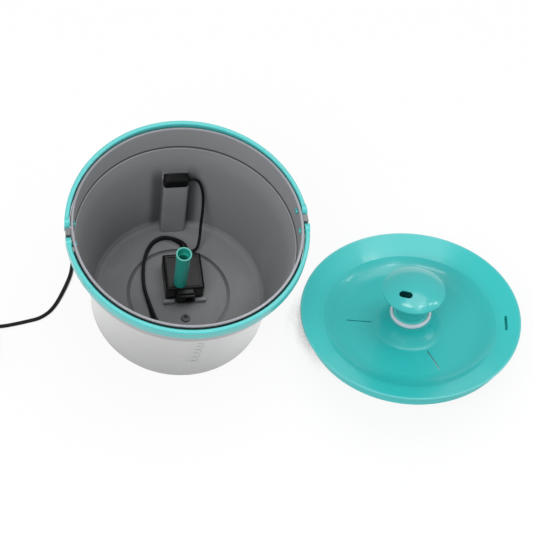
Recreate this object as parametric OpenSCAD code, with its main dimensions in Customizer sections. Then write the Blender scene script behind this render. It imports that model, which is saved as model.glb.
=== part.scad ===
// Pet water fountain, taken apart for cleaning: the tank with its two swing-up handles,
// the pump with its telescopic riser, and the drinking tray with its domed spout beside it.
// Millimetres, +Z up. The origin is the middle of the tank's base, on the table.

/* [Tank] */
// Height of the rim above the table
tank_h = 132; // [124:1:145]
// Outer radius of the rim collar
rim_r = 100; // [97:0.5:106]
// Thickness of the rim collar
collar_t = 2.4; // [2:0.1:3.2]
// Depth of the straight collar, down to the ledge
collar_depth = 28; // [20:1:34]
// Step from the tapered wall out to the collar
collar_step = 1.9; // [1.2:0.1:2.6]
// Outer radius at the foot
foot_r = 80.5; // [78:0.5:88]
// How late the wall flares out: 1 is a plain cone
flare_power = 1.6; // [1:0.1:2.2]
// Thickness of the tapered wall
tank_wall = 2; // [1.6:0.1:2.8]
// Height of the tank's floor above the table
floor_z = 7; // [6:0.2:8.4]
// Thickness of the floor
floor_t = 2.2; // [1.6:0.1:3]
// Fillet between the floor and the wall
floor_fillet = 6; // [3:0.5:9]
// Width of the foot ring
foot_ring_t = 3; // [2:0.2:5]
// Radius of the round groove in the floor
groove_r = 46.4; // [38:0.2:54]
// Width of the round groove
groove_w = 2.6; // [1:0.1:3]
// Depth of the round groove
groove_depth = 0.9; // [0.4:0.1:1.2]
// Thickness of the ribs under the floor
rib_t = 1.6; // [1:0.1:3]
// Place of the small ring on the floor, in front of the pump
ring_boss_y = -26.1; // [-34:0.1:-20]
// Outer radius of the small ring
ring_boss_r = 3.9; // [3:0.1:5]
// Height of the small ring
ring_boss_h = 2; // [1:0.1:2.2]

/* [Socket column] */
// Width of the column
col_w = 23.5; // [19:0.5:28]
// Height of the column's top above the table
col_h = 72; // [60:1:84]
// How far the column's top stands in from the tank's outside
col_reach = 15.7; // [14.6:0.1:18]
// How far the column's front stands in from the tank's foot
col_foot = 14.5; // [13:0.1:16]
// Sideways place of the column
col_x = 1.8; // [-2:0.1:2]
// Wall of the column
col_wall = 2; // [1.6:0.1:2.6]
// Radius of the column's upright edges
col_edge = 3; // [2.2:0.1:4]
// Fillet round the column's foot
col_fillet = 4; // [2:0.5:6]

/* [Handles] */
// Gap between the rim and the handles
handle_gap = 1.2; // [0.9:0.1:2]
// Thickness of a handle
handle_t = 4; // [3:0.1:5]
// Height of a handle
handle_h = 10; // [8:0.5:11]
// Radius of a handle's long edges
handle_edge = 1.2; // [0.5:0.1:1.4]
// Distance of the hinge pins from the middle line
pin_y = 10.2; // [9.8:0.1:12]
// Depth of the hinge pins below the rim
pin_drop = 6.5; // [6.2:0.1:10]
// Radius of a hinge pin
pin_r = 2.4; // [2:0.1:2.8]
// Radius of a handle's end disc
lug_r = 6; // [5:0.1:6.1]
// How far the rear handle stands up from level, in degrees
rear_raise = 3; // [0:0.5:6]
// Half width of the stop between the handles' ends
stop_half_w = 3.4; // [2.6:0.1:3.5]

/* [Pump] */
// Width of the pump
pump_w = 35.5; // [30:0.5:36]
// Depth of the pump, front to back
pump_d = 38; // [34:0.5:38]
// Height of the pump's body
pump_h = 18.5; // [18.2:0.1:22]
// Sideways place of the pump
pump_x = 4.6; // [4:0.1:5.2]
// Front face of the pump
pump_front = -7; // [-8:0.1:-6.6]
// Radius of the pump's edges
pump_edge = 2.6; // [1.5:0.1:3]
// Height of the impeller's shaft above the pump's bottom
shaft_up = 8.9; // [8.7:0.1:9.6]
// Height of the raised border on the pump's top
border_h = 0.8; // [0.4:0.1:1.2]
// Width of the raised border
border_w = 1.4; // [1:0.1:2]
// Radius of the impeller's chamber
chamber_r = 7.2; // [7:0.1:7.3]
// Radius of the impeller's vanes
vane_r = 6.2; // [5.4:0.1:6.6]
// Number of vanes
vane_count = 6; // [4:1:8]
// Thickness of a vane
vane_t = 1; // [0.8:0.1:1.3]
// Radius of the magnet
magnet_r = 4.2; // [3.6:0.1:4.5]
// Length of the magnet
magnet_len = 13.5; // [10:0.5:14]
// Radius of the impeller's shaft
shaft_r = 1; // [0.8:0.05:1.2]
// Width of the inlet cover
cover_w = 17.6; // [17:0.1:18]
// Height of the inlet cover
cover_h = 16.8; // [16.4:0.1:17]
// Depth of the inlet cover
cover_d = 4; // [3.8:0.1:4.6]
// Number of slots in the inlet grille
grille_count = 5; // [3:1:5]
// Width of a slot in the inlet grille
grille_slot = 1.3; // [1:0.1:1.6]
// Travel of the flow regulator
regulator_travel = 6; // [4:0.5:7]
// Radius of a suction foot
sucker_r = 5; // [4:0.1:5.5]
// Height of a suction foot
sucker_h = 2.5; // [2.2:0.1:3]
// Width of the locating lugs in front of the pump
lug_w = 10; // [7:0.5:12]
// Thickness of the locating lugs
lug_t = 3; // [2:0.2:3.6]
// Height of the locating lugs
lug_h = 5; // [3:0.5:8]

/* [Riser] */
// Radius of the pump's outlet nipple
nipple_r = 4.5; // [4:0.1:4.8]
// Height of the outlet nipple
nipple_h = 34; // [28:1:38]
// Length of the riser tube
riser_h = 52; // [46:1:56]
// Outer radius of the riser's foot
riser_foot_r = 6; // [5.8:0.1:6.6]
// Outer radius of the riser's mouth
riser_mouth_r = 7.2; // [7:0.1:7.8]
// Depth of the riser's mouth
mouth_depth = 8; // [6:0.5:10]

/* [Pump lead] */
// Width of the connector
plug_w = 23; // [21.4:0.2:24]
// Depth of the connector
plug_d = 10.4; // [10:0.2:11]
// Height of the connector
plug_h = 10; // [9.6:0.1:12]
// Radius of the connector's edges
plug_edge = 3; // [1:0.1:3.4]
// Radius of a contact pin
contact_r = 0.9; // [0.7:0.05:1]
// Distance between the two contact pins
contact_pitch = 7; // [6:0.2:8]
// Width of the socket's boss
socket_w = 13; // [12:0.2:14]
// Depth of the socket's boss
socket_d = 5.6; // [5.2:0.1:5.8]
// Height of the socket's boss above the column
socket_h = 4; // [3:0.1:4.4]
// Thickness of the socket's seal
socket_seal_t = 1.2; // [0.8:0.1:1.4]

/* [Tray] */
// Outer radius of the tray
tray_r = 101; // [100:0.2:101.1]
// Radius of the crease at the foot of the tray's flange
crease_r = 79.6; // [76:0.1:84]
// Depth of the crease below the rim
crease_depth = 10; // [8:0.1:11]
// Radius at which the bowl's curve meets the flat floor
tray_floor_r = 60; // [54:0.5:72]
// Depth of the tray's floor below its rim
tray_depth = 18; // [16:0.1:18.2]
// Thickness of the tray
tray_wall = 1.8; // [1.6:0.1:2]
// Depth of the skirt below the rim
skirt_h = 15; // [14.8:0.1:18]
// Clearance between the skirt and the tank's collar
skirt_clear = 2.2; // [2:0.1:3]
// Radius of the hub's top
hub_top_r = 20.6; // [20.2:0.1:22]
// Radius of the hub's foot
hub_foot_r = 29; // [26:0.2:31]
// Depth of the hub's top below the rim
hub_drop = 2.5; // [1:0.1:4]
// Depth of the hub's cup
cup_depth = 12.5; // [9:0.5:13]
// Inner end of the drain slits
slit_in_r = 34.2; // [32:0.2:40]
// Length of a drain slit
slit_len = 23.4; // [16:0.2:26]
// Width of a drain slit
slit_w = 1.2; // [0.8:0.1:1.6]
// Direction of the first drain slit
slit_turn = 46.5; // [0:0.5:120]
// Length of the finger slot in the flange
slot_len = 18; // [12:0.5:24]
// Width of the finger slot
slot_w = 2.3; // [1.6:0.1:3]
// Radius at which the finger slot lies
slot_r = 88; // [86:0.2:90]
// Direction of the finger slot
slot_turn = -13.2; // [-30:0.2:30]
// Tilt of the tray as it rests beside the tank
tray_tilt = 14; // [8:0.5:16]
// Direction in which the tray leans
tray_lean = 103.5; // [90:0.5:120]
// Gap between the tray and the tank's handles
tray_gap = 6.1; // [4:0.1:20]
// Direction of the tray from the tank
tray_side = -14; // [-20:0.5:0]

/* [Spout] */
// Radius of the spout's neck
neck_r = 13; // [11:0.1:13.6]
// Wall of the spout
spout_wall = 1.8; // [1.4:0.1:2.2]
// Height of the neck's straight part above the tray's rim
neck_h = 3; // [1.6:0.2:8]
// Radius of the dome
dome_r = 28.5; // [26:0.1:32]
// Height of the dome's edge above the tray's rim
dome_z = 30; // [26:0.5:34]
// Rise of the dome from its edge to its top
dome_rise = 8; // [6:0.2:12]
// Half length of the outlet slot
outlet_half_l = 6.1; // [4:0.1:7]
// Half width of the outlet slot
outlet_half_w = 3.4; // [2:0.1:3.9]
// Distance of the outlet slot from the dome's middle
outlet_at = 14; // [12:0.2:17]
// Direction of the outlet slot
outlet_turn = -136; // [-180:1:180]
// Turn of the outlet slot about its own middle
outlet_twist = 18; // [-90:1:90]
// Radius of the spigot under the spout
spigot_r = 5.5; // [5:0.1:5.7]
// Inner radius of the seal ring
seal_in_r = 14.8; // [14:0.1:15.4]
// Width of the seal ring
seal_w = 4; // [3:0.1:4.6]
// Height of the seal ring
seal_h = 4; // [3:0.1:5]

/* [Power cord] */
// Diameter of the power cord
cord_d = 3.5; // [3:0.1:3.5]
// Diameter of the pump's lead
lead_d = 2.8; // [2.4:0.1:2.8]
// Height of the gland above the table
gland_z = 10; // [9.5:0.1:10.5]
// Radius of the gland's barrel
gland_r = 3.4; // [2.8:0.1:3.8]
// Length of the strain relief
relief_len = 25; // [22:0.5:25]
// Middle radius of the coil
coil_r = 19.5; // [18:0.5:20]
// Turns beside and above each other in the coil
coil_rows = 3; // [2:1:3]
// Thickness of the tie round the coil
tie_t = 0.6; // [0.4:0.1:1]
// Width of the tie
tie_w = 4; // [3:0.5:6]
// Width of the plug's metal shell
usb_w = 12; // [11.8:0.1:12.2]
// Thickness of the plug's metal shell
usb_t = 4.5; // [4.3:0.1:4.6]
// Length of the plug's metal shell
usb_len = 12; // [10:0.5:14]
// Length of the plug's grip
grip_len = 20; // [16:0.5:26]

/* [Hidden] */
$fn = 48;
fine = 96;

// Clearances
fit_clear = 0.05;      // a shaft in its bush, a barrel in its bore
pin_clear = 0.08;      // a handle's pin in the rim
slide_clear = 0.1;     // the riser on its nipple
loose_clear = 0.3;     // pieces that pass each other
over = 1;              // how far a cut runs past a face

// Tank
collar_r = rim_r - collar_t;
ledge_z = tank_h - collar_depth;
ledge_out_r = rim_r - collar_step;
foot_in_r = foot_r - foot_ring_t;
foot_edge = 0.8;
slab_z = floor_z - floor_t;
flare_steps = 12;
rim_round = collar_t / 2 - 0.1;
rib_gap = 1;           // the ribs stay this far above the table
rib_hub_r = 14;
rib_count = 6;
ring_boss_x = 3.6;
ring_boss_bore = 2.2;
function flare_r(z) = foot_r + (ledge_out_r - foot_r) * pow(max(z, 0) / ledge_z, flare_power);

// Column and socket
col_deep = 40;
col_front = foot_r - col_foot;
col_lean = atan((flare_r(col_h) - col_reach - col_front) / col_h);
function hollow_y(h) = col_front + h * tan(col_lean) + col_wall;
socket_y = flare_r(col_h) - col_reach + plug_d / 2 + 0.1;
socket_drop = 6;       // the socket's body hangs this far below the column's top
socket_foot = col_h - col_wall - socket_drop;
socket_flange = 2;
pin_up = 8;
pin_below = col_wall + socket_drop;
pin_tail = 1.4;
socket_seal_w = 1.6;

// Handles
pin_z = tank_h - pin_drop;
handle_in_r = rim_r + handle_gap;
handle_out_r = handle_in_r + handle_t;
handle_z = pin_z - handle_h / 2;
handle_end = asin(pin_y / (handle_in_r + handle_t / 2));
lug_x = rim_r + 0.4;
pin_head_x = collar_r - 1.05;
pin_head_t = 1;
pin_head_r = pin_r + 0.5;
pin_slot = 1;
stop_out = 0.6;        // the stop ends this far inside the handles' outer face

// Pump
pump_z = floor_z + sucker_h;
pump_top = pump_z + pump_h;
pump_back = pump_front + pump_d;
shaft_z = pump_z + shaft_up;
chamber_back = 3.2;
well_r = 4.9;
well_back = 20;
bush_len = 2.8;
bush_r = 2.2;
shaft_back = well_back + bush_len - 0.2;
eye_plate = 1.2;
front_bush_r = 1.8;
front_bush_out = 0.8;
spider_r = front_bush_r + 0.9;
eye_r = 5;
spider_t = 1.1;
grille_wall = 1.6;
grille_h = 8;
grille_pitch = 2.5;
disc_y = 1.2;
disc_t = 1.2;
sleeve_r = 2.3;
vane_front = -5.4;
vane_lean = 1;
outlet_bore = 2.6;
nipple_edge = 0.6;
border_clear = 0.6;
sucker_x = 11;
sucker_ys = [2, 20];
sucker_stem = 1.45;
sucker_stem_h = 2.5;
lead_exit = [12, 0, 16];
grommet_r = 2.4;
grommet_len = 5.5;
grommet_in = 3;
lug_gap = 1;
lug_clear = 0.8;
cover_up = -0.2;       // the cover's middle against the shaft
groove_count = 3;
groove_step = 6;
side_groove = 0.7;
groove_margin = 3.5;   // from a side groove's ends to the pump's top and bottom
magnet_y = 4;
regulator_w = 7;
regulator_h = 9.4;
regulator_t = 1.2;
rail_t = 1.4;
rail_lip = 0.8;
rail_start = 1.4;      // from the cover's side to the rails
rail_end = 0.9;        // what the rails leave past the slider's travel
rail_len = regulator_w + regulator_travel + 2 * rail_end;

// Riser
riser_bore = nipple_r + slide_clear;
mouth_r = spigot_r + 0.2;
mouth_lip = 3;

// Tray: heights are measured from its rim plane, downwards negative
skirt_r = collar_r - skirt_clear;
flange_in = 1.8;
flange_slope = (crease_depth - 0.4) / (tray_r - flange_in - crease_r);
function flange_h(r) = -0.4 - (tray_r - flange_in - r) * flange_slope;
bowl_steps = 10;
bowl_power = 1.8;      // the bowl falls from the crease along a curve that is level at its foot
function bowl_part(r) = max(r - tray_floor_r, 0) / (crease_r - tray_floor_r);
function bowl_h(r) = -tray_depth + (tray_depth - crease_depth) * pow(bowl_part(r), bowl_power);
function bowl_a(r) = atan((tray_depth - crease_depth) / (crease_r - tray_floor_r)
    * bowl_power * pow(bowl_part(r), bowl_power - 1));
tray_drop = tray_wall * 1.15;
hub_bore_r = neck_r + loose_clear;
cup_floor = -hub_drop - cup_depth;
cup_floor_t = 2;
spigot_hole_r = spigot_r + loose_clear;
hub_steps = 7;
function hub_r(t) = hub_top_r + (hub_foot_r - hub_top_r) * pow(1 - t, 2.2);
tray_z = max(skirt_r * sin(tray_tilt) + skirt_h * cos(tray_tilt),
    tray_floor_r * sin(tray_tilt) + (tray_depth + tray_wall) * cos(tray_tilt));
tray_away = handle_out_r + tray_gap + tray_r;
slit_count = 3;

// Spout
spigot_tip = (tray_z - spigot_r * sin(tray_tilt)) / cos(tray_tilt);
spigot_wall = 1.4;
flare_top = dome_z - 1.6;
mouth_out_r = dome_r - 1.4;
trumpet_steps = 10;
function trumpet_r(h) =
    neck_r + (mouth_out_r - neck_r) * pow(max(h - neck_h, 0) / (flare_top - neck_h), 2);
dome_ball = (dome_r * dome_r + dome_rise * dome_rise) / (2 * dome_rise);
dome_mid = dome_z + dome_rise - dome_ball;
dome_edge_a = asin(dome_r / dome_ball);
dome_steps = 12;
plug_ring_h = 1.6;     // the cap's ring reaches this far into the trumpet
plug_ring_r = trumpet_r(flare_top - plug_ring_h) - spout_wall - 1.4;
cap_inner_a = asin(plug_ring_r / (dome_ball - spout_wall));

// Power cord
coil_section = coil_rows * cord_d;
coil_at = [-193, -41];
tie_clear = 0.2;
tie_turn = 290;
coil_z = tie_t + tie_clear;
relief_r = 2.3;
flange_r = gland_r + 1.6;
gland_y = flare_r(gland_z) + 0.3;
gland_in = 5;
gland_back = gland_y - gland_in;
grip_h = 7.6;
usb_shell_t = 0.35;
usb_x = coil_at.x - coil_r - coil_section / 2 + cord_d / 2;
usb_back = 13.6;       // from the coil's middle back to the plug's relief
usb_y = coil_at.y - usb_back;
usb_relief = 8;
cord_sides = 8;

// Route of the pump's lead, from the pump's back round the floor to the connector
lead_route = [
    [12, 36.5, 16], [12, 42, 15.6], [10.5, 48, 14.6], [6, 53.3, 13.2], [-1, 57.2, 12.2],
    [-9, 58.8, 11.8], [-17.2, 55.4, 11.5], [-23.4, 48, 11.5], [-27.4, 38.6, 11.5],
    [-29.8, 28.6, 11.5], [-31, 18, 11.5], [-31.2, 7.6, 11.5], [-29.8, -2.6, 11.5],
    [-27.6, -12.8, 11.5], [-25, -22.8, 11.3], [-21.6, -32, 10.4], [-17, -40.4, 9.2],
    [-11, -47, 8.5], [-6.4, -54, 8.4], [-8.4, -61.2, 8.4], [-14.8, -64.2, 8.4],
    [-21.2, -61, 8.4], [-24.6, -53.5, 8.4], [-26.2, -44, 8.4], [-26.2, -33.6, 8.4],
    [-26.8, -23.5, 8.4], [-28.2, -13, 8.4], [-29.9, -2.5, 8.4], [-31.2, 8, 8.4],
    [-31.2, 18.5, 8.4], [-30, 29, 8.4], [-27.4, 39, 8.4], [-23, 48.2, 8.4],
    [-16.6, 55.6, 8.4], [-8.6, 59, 8.4], [-0.5, 58.2, 8.4], [6, 53.4, 8.4],
    [10.5, 47.4, 8.4], [16, 43.4, 9], [21.8, 44.4, 12], [24.6, 50.6, 18.5],
    [25.8, 58, 29], [27.6, 66.5, 41], [28, 73, 52.5], [26.6, 77.4, 63],
    [23.2, 79.6, 72], [18.6, 80, 76.3], [15.3, 80, 77]
];

// Route of the cord inside the column, from the gland up to the socket
inner_rise = [0.32, 0.46, 0.66];   // shares of the way up to the socket
inner_off = 3.4;                    // from the hollow's front to the cord's middle
inner_route = [
    [col_x, gland_back, gland_z], [col_x, gland_back - 1, gland_z],
    [col_x, gland_back - 2.6, gland_z + 1.4], [col_x, gland_back - 3.2, gland_z + 4.6],
    for (t = inner_rise) [col_x, hollow_y(t * socket_foot) + inner_off, t * socket_foot],
    [col_x, socket_y - 0.6, socket_foot - 12], [col_x, socket_y, socket_foot - 4],
    [col_x, socket_y, socket_foot]
];

// Route of the power cord, from the strain relief round the tank to its coil
cord_route = [
    [1.8, 107.8, 10], [1, 115, 9.4], [-2.5, 123.2, 7], [-8.5, 129.8, 4], [-15.5, 133, 2.4],
    [-23, 134.2, 1.9], [-31, 133.2, 1.8], [-41.5, 129, 1.8], [-52.5, 122, 1.8],
    [-63.5, 112.5, 1.8], [-73.5, 100, 1.8], [-82, 86, 1.8], [-88.5, 71, 1.8],
    [-92.5, 56, 1.8], [-94.5, 42, 1.8], [-97.2, 30.5, 1.8], [-102, 19.5, 1.8],
    [-107.2, 9.5, 1.8], [-113, 0, 1.8], [-120, -7.8, 1.8], [-129, -13, 1.8],
    [-139.5, -15.4, 1.8], [-150, -17.2, 1.8], [-160, -18.6, 2], [-170, -19, 2.4],
    [-177.4, -19, 2.55]
];

// Shared shapes -------------------------------------------------------------

// A rounded rectangle about the middle
module round_rect(size, r) {
    square([size.x - 2 * r, size.y], center = true);
    square([size.x, size.y - 2 * r], center = true);
    for (x = [-1, 1], y = [-1, 1])
        translate([x * (size.x / 2 - r), y * (size.y / 2 - r)]) circle(r);
}

// A block with every edge rounded, about the middle
module round_block(size, r) {
    intersection() {
        linear_extrude(size.z, center = true) round_rect([size.x, size.y], r);
        rotate([90, 0, 0]) linear_extrude(size.y, center = true) round_rect([size.x, size.z], r);
        rotate([90, 0, 90]) linear_extrude(size.x, center = true) round_rect([size.y, size.z], r);
    }
}

// Points along an arc
function arc(mid, r, from, to, steps) =
    [for (i = [0:steps]) let (a = from + (to - from) * i / steps) mid + r * [cos(a), sin(a)]];

// The hollow corner between two faces that meet at the origin
module fillet_2d(r) {
    polygon(concat([[-over, -over], [r, -over]], arc([r, r], r, 270, 180, 5), [[-over, r]]));
}

// A cylinder whose axis lies along +Y, starting at y
module along_y(r, from, to) {
    translate([0, from, 0]) rotate([-90, 0, 0]) cylinder(r = r, h = to - from);
}

// Puts a piece on the impeller's shaft
module at_shaft() translate([pump_x, 0, shaft_z]) children();

// Puts a piece in the tray's tilted frame
module at_tray() {
    translate([tray_away * cos(tray_side), tray_away * sin(tray_side), tray_z])
        rotate([0, 0, tray_lean]) rotate([0, tray_tilt, 0]) rotate([0, 0, -tray_lean]) children();
}

// Cords: a ring of points round each point of the route, carried along without twist
function unit(v) = v / norm(v);
function heading(route, i) = unit(route[min(i + 1, len(route) - 1)] - route[max(i - 1, 0)]);
function carry(side, ahead) = unit(side - (side * ahead) * ahead);
function sides(route, i, side) =
    i == len(route) ? [] :
    let (now = carry(side, heading(route, i))) concat([now], sides(route, i + 1, now));

module cord_tube(route, d, side) {
    n = cord_sides;
    last = len(route) - 1;
    across = sides(route, 0, side);
    points = [
        for (i = [0:last])
            let (u = across[i], v = cross(heading(route, i), u))
                for (k = [0:n - 1]) route[i] + d / 2 * (cos(360 * k / n) * u + sin(360 * k / n) * v)
    ];
    faces = concat(
        [[for (k = [0:n - 1]) k]],
        [for (i = [0:last - 1], k = [0:n - 1]) [i * n + (k + 1) % n, i * n + k, (i + 1) * n + k]],
        [for (i = [0:last - 1], k = [0:n - 1])
            [i * n + (k + 1) % n, (i + 1) * n + k, (i + 1) * n + (k + 1) % n]],
        [[for (k = [n - 1:-1:0]) last * n + k]]
    );
    polyhedron(points, faces);
}

// Tank ----------------------------------------------------------------------

// Everything inside the tapered wall, in by inset, between two heights
module tank_core(inset, from, to) {
    rotate_extrude($fn = fine) polygon(concat(
        [[0, from]],
        [for (i = [0:flare_steps]) let (z = from + (to - from) * i / flare_steps) [flare_r(z) - inset, z]],
        [[0, to]]
    ));
}

module tank_shell() {
    inner_foot = floor_z + floor_fillet;
    fillet_mid = flare_r(inner_foot) - tank_wall - floor_fillet;
    fillet_from = -15;
    rotate_extrude($fn = fine) polygon(concat(
        [[foot_in_r, 0], [foot_r - foot_edge, 0]],
        [for (i = [0:flare_steps])
            let (z = foot_edge + (ledge_z - foot_edge) * i / flare_steps) [flare_r(z), z]],
        [[rim_r, ledge_z + collar_step]],
        arc([rim_r - rim_round, tank_h - rim_round], rim_round, 0, 90, 4),
        arc([collar_r + rim_round, tank_h - rim_round], rim_round, 90, 180, 4),
        [[collar_r, ledge_z]],
        [for (i = [0:flare_steps])
            let (z = ledge_z + (inner_foot - ledge_z) * i / flare_steps) [flare_r(z) - tank_wall, z]],
        arc([fillet_mid, inner_foot], floor_fillet, fillet_from, -90, 5),
        [[0, floor_z], [0, slab_z], [foot_in_r, slab_z]]
    ));
}

// The leaning prism of the column, in by inset
module column_prism(inset) {
    translate([col_x, col_front, 0]) rotate([-col_lean, 0, 0])
        translate([0, col_deep / 2 + inset, -col_h])
            linear_extrude(col_h * 3) round_rect([col_w - 2 * inset, col_deep], col_edge - inset + 0.2);
}

module column_foot() {
    front = col_front + floor_z * tan(col_lean);
    side = col_w / 2 - col_edge;
    translate([col_x, front, floor_z]) {
        rotate([90, 0, -90]) linear_extrude(2 * side, center = true) fillet_2d(col_fillet);
        for (x = [-1, 1]) {
            translate([x * side, col_edge, 0])
                rotate_extrude() translate([col_edge, 0]) fillet_2d(col_fillet);
            translate([x * col_w / 2, col_edge, 0]) mirror([x < 0 ? 1 : 0, 0, 0])
                rotate([90, 0, 0]) mirror([0, 0, 1]) linear_extrude(col_deep / 3) fillet_2d(col_fillet);
        }
    }
}

module floor_ribs() {
    for (i = [0:rib_count - 1]) rotate([0, 0, i * 360 / rib_count])
        translate([rib_hub_r, -rib_t / 2, rib_gap])
            cube([foot_in_r - rib_hub_r + over / 2, rib_t, slab_z - rib_gap + over / 2]);
    for (r = [rib_hub_r, groove_r]) rotate_extrude($fn = fine)
        translate([r - rib_t / 2, rib_gap]) square([rib_t, slab_z - rib_gap + over / 2]);
}

module pump_lugs() {
    for (x = [-1, 1])
        translate([pump_x + x * (cover_w / 2 + lug_clear + lug_w / 2), pump_front - lug_gap - lug_t / 2,
                floor_z - floor_t / 2])
            linear_extrude(lug_h + floor_t / 2) round_rect([lug_w, lug_t], 0.8);
}

module handle_stops() {
    for (x = [-1, 1]) intersection() {
        translate([x * (rim_r - collar_t / 2), -stop_half_w, handle_z]) mirror([x < 0 ? 1 : 0, 0, 0])
            cube([handle_t + over * 3, 2 * stop_half_w, handle_h - 0.6]);
        cylinder(r = handle_out_r - stop_out, h = tank_h, $fn = fine);
    }
}

module tank() {
    color("#9b9c9f") difference() {
        union() {
            tank_shell();
            intersection() {
                union() {
                    column_prism(0);
                    column_foot();
                }
                tank_core(tank_wall / 2, slab_z + floor_t / 2, col_h);
            }
            floor_ribs();
            pump_lugs();
            handle_stops();
            translate([ring_boss_x, ring_boss_y, slab_z + floor_t / 2])
                cylinder(r = ring_boss_r, h = floor_t / 2 + ring_boss_h);
        }
        intersection() {
            column_prism(col_wall);
            tank_core(tank_wall, -over, col_h - col_wall);
        }
        rotate_extrude($fn = fine) translate([groove_r - groove_w / 2, floor_z - groove_depth])
            square([groove_w, groove_depth + over]);
        translate([ring_boss_x, ring_boss_y, floor_z - groove_depth])
            cylinder(r = ring_boss_bore, h = ring_boss_h + groove_depth + over);
        translate([col_x, socket_y, col_h - col_wall - over])
            linear_extrude(col_wall + 2 * over) round_rect([socket_w + 0.1, socket_d + 0.1], 2);
        translate([col_x, 0, gland_z]) along_y(gland_r + fit_clear, foot_r - 6, foot_r + 6);
        for (x = [-1, 1], y = [-1, 1]) translate([x * (rim_r - collar_t / 2), y * pin_y, pin_z])
            rotate([0, 90, 0]) cylinder(r = pin_r + pin_clear, h = 2 * collar_t + over, center = true);
    }
}

// Handles -------------------------------------------------------------------

// The rear half of the handle; the front one is its mirror image
module half_handle() {
    difference() {
        union() {
            translate([0, 0, pin_z]) rotate([0, 0, handle_end])
                rotate_extrude(angle = 180 - 2 * handle_end, $fn = fine)
                    translate([handle_in_r + handle_t / 2, 0])
                        round_rect([handle_t, handle_h], handle_edge);
            for (x = [-1, 1]) {
                intersection() {
                    translate([x * lug_x, pin_y, pin_z]) rotate([0, x * 90, 0])
                        cylinder(r = lug_r, h = handle_t + handle_gap);
                    cylinder(r = handle_out_r, h = tank_h + lug_r, $fn = fine);
                }
                translate([x * (lug_x + over), pin_y, pin_z]) rotate([0, -x * 90, 0]) {
                    cylinder(r = pin_r, h = lug_x + over - pin_head_x);
                    translate([0, 0, lug_x + over - pin_head_x])
                        cylinder(r1 = pin_head_r, r2 = pin_r - 0.3, h = pin_head_t);
                }
            }
        }
        for (x = [-1, 1]) translate([x * (pin_head_x - pin_head_t - over), pin_y, pin_z])
            translate([x * 2.5, 0, 0]) cube([5, pin_slot, 2 * pin_head_r + over], center = true);
    }
}

module rear_handle() {
    color("#45c0b9") translate([0, pin_y, pin_z]) rotate([rear_raise, 0, 0])
        translate([0, -pin_y, -pin_z]) half_handle();
}

module front_handle() color("#45c0b9") mirror([0, 1, 0]) half_handle();

// Socket on the column ------------------------------------------------------

module column_socket() {
    color("#202224") translate([col_x, socket_y, 0]) difference() {
        union() {
            translate([0, 0, socket_foot])
                linear_extrude(socket_drop + col_wall + socket_h) round_rect([socket_w, socket_d], 1.95);
            translate([0, 0, col_h - col_wall - socket_flange])
                linear_extrude(socket_flange) round_rect([socket_w + 3.4, socket_d], 1.95);
        }
        for (x = [-1, 1]) translate([x * contact_pitch / 2, 0, 0])
            cylinder(r = contact_r + fit_clear, h = col_h + socket_h + over);
    }
}

module socket_pins() {
    color("#c9a85a") for (x = [-1, 1]) translate([col_x + x * contact_pitch / 2, socket_y, 0]) {
        translate([0, 0, socket_foot - pin_tail])
            cylinder(r = contact_r, h = pin_tail + pin_below + pin_up);
        translate([0, 0, socket_foot - pin_tail]) cylinder(r = contact_r + 0.5, h = pin_tail - 0.2);
    }
}

module socket_seal() {
    color("#3a3c3f") translate([col_x, socket_y, col_h]) linear_extrude(socket_seal_t) difference() {
        round_rect([socket_w + 2 * socket_seal_w, socket_d + 2 * socket_seal_w], 3.5);
        round_rect([socket_w + 0.1, socket_d + 0.1], 2);
    }
}

// Power cord ----------------------------------------------------------------

module cord_gland() {
    color("#1c1e20") translate([col_x, 0, gland_z]) {
        along_y(gland_r, gland_back, gland_y + over);
        along_y(flange_r, gland_y, gland_y + 1.6);
        translate([0, gland_y + 1.6, 0]) rotate([-90, 0, 0])
            cylinder(r1 = gland_r, r2 = relief_r, h = relief_len);
        for (i = [1:6]) along_y(gland_r - 0.12 * i, gland_y + 1 + i * 3.4, gland_y + 2.6 + i * 3.4);
    }
}

module inner_lead() color("#151618") cord_tube(inner_route, cord_d, [1, 0, 0]);

module power_cord() color("#151618") cord_tube(cord_route, cord_d, [1, 0, 0]);

module cord_coil() {
    color("#151618") translate([coil_at.x, coil_at.y, coil_z + coil_section / 2]) rotate_extrude($fn = fine)
        translate([coil_r, 0]) round_rect([coil_section, coil_section], cord_d / 2);
}

module cord_tie() {
    inner = coil_section + 2 * tie_clear;
    color("#2a2c2e") translate([coil_at.x, coil_at.y, coil_z + coil_section / 2]) rotate([0, 0, tie_turn])
        translate([coil_r, 0, 0]) rotate([90, 0, 0]) linear_extrude(tie_w, center = true) difference() {
            round_rect([inner + 2 * tie_t, inner + 2 * tie_t], 1.4 + tie_t);
            round_rect([inner, inner], 1.4);
        }
}

module usb_grip() {
    color("#1c1e20") translate([usb_x, usb_y, grip_h / 2]) rotate([0, 0, 180]) {
        rotate([-90, 0, 0]) cylinder(r1 = cord_d / 2 + 0.3, r2 = cord_d / 2 + 1.2, h = usb_relief + over);
        translate([0, usb_relief + grip_len / 2, 0]) round_block([usb_w + 3, grip_len, grip_h], 1.8);
        translate([0, usb_relief + grip_len + usb_len / 2 - over, usb_t / 4 - 0.2])
            cube([usb_w - 1.2, usb_len - over, usb_t / 2 - 0.7], center = true);
    }
}

module usb_shell() {
    color("#b9bcc0") translate([usb_x, usb_y, grip_h / 2]) rotate([0, 0, 180])
        translate([0, usb_relief + grip_len, 0]) rotate([-90, 0, 0]) linear_extrude(usb_len) difference() {
            round_rect([usb_w, usb_t], 0.6);
            round_rect([usb_w - 2 * usb_shell_t, usb_t - 2 * usb_shell_t], 0.35);
        }
}

// Pump ----------------------------------------------------------------------

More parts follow.
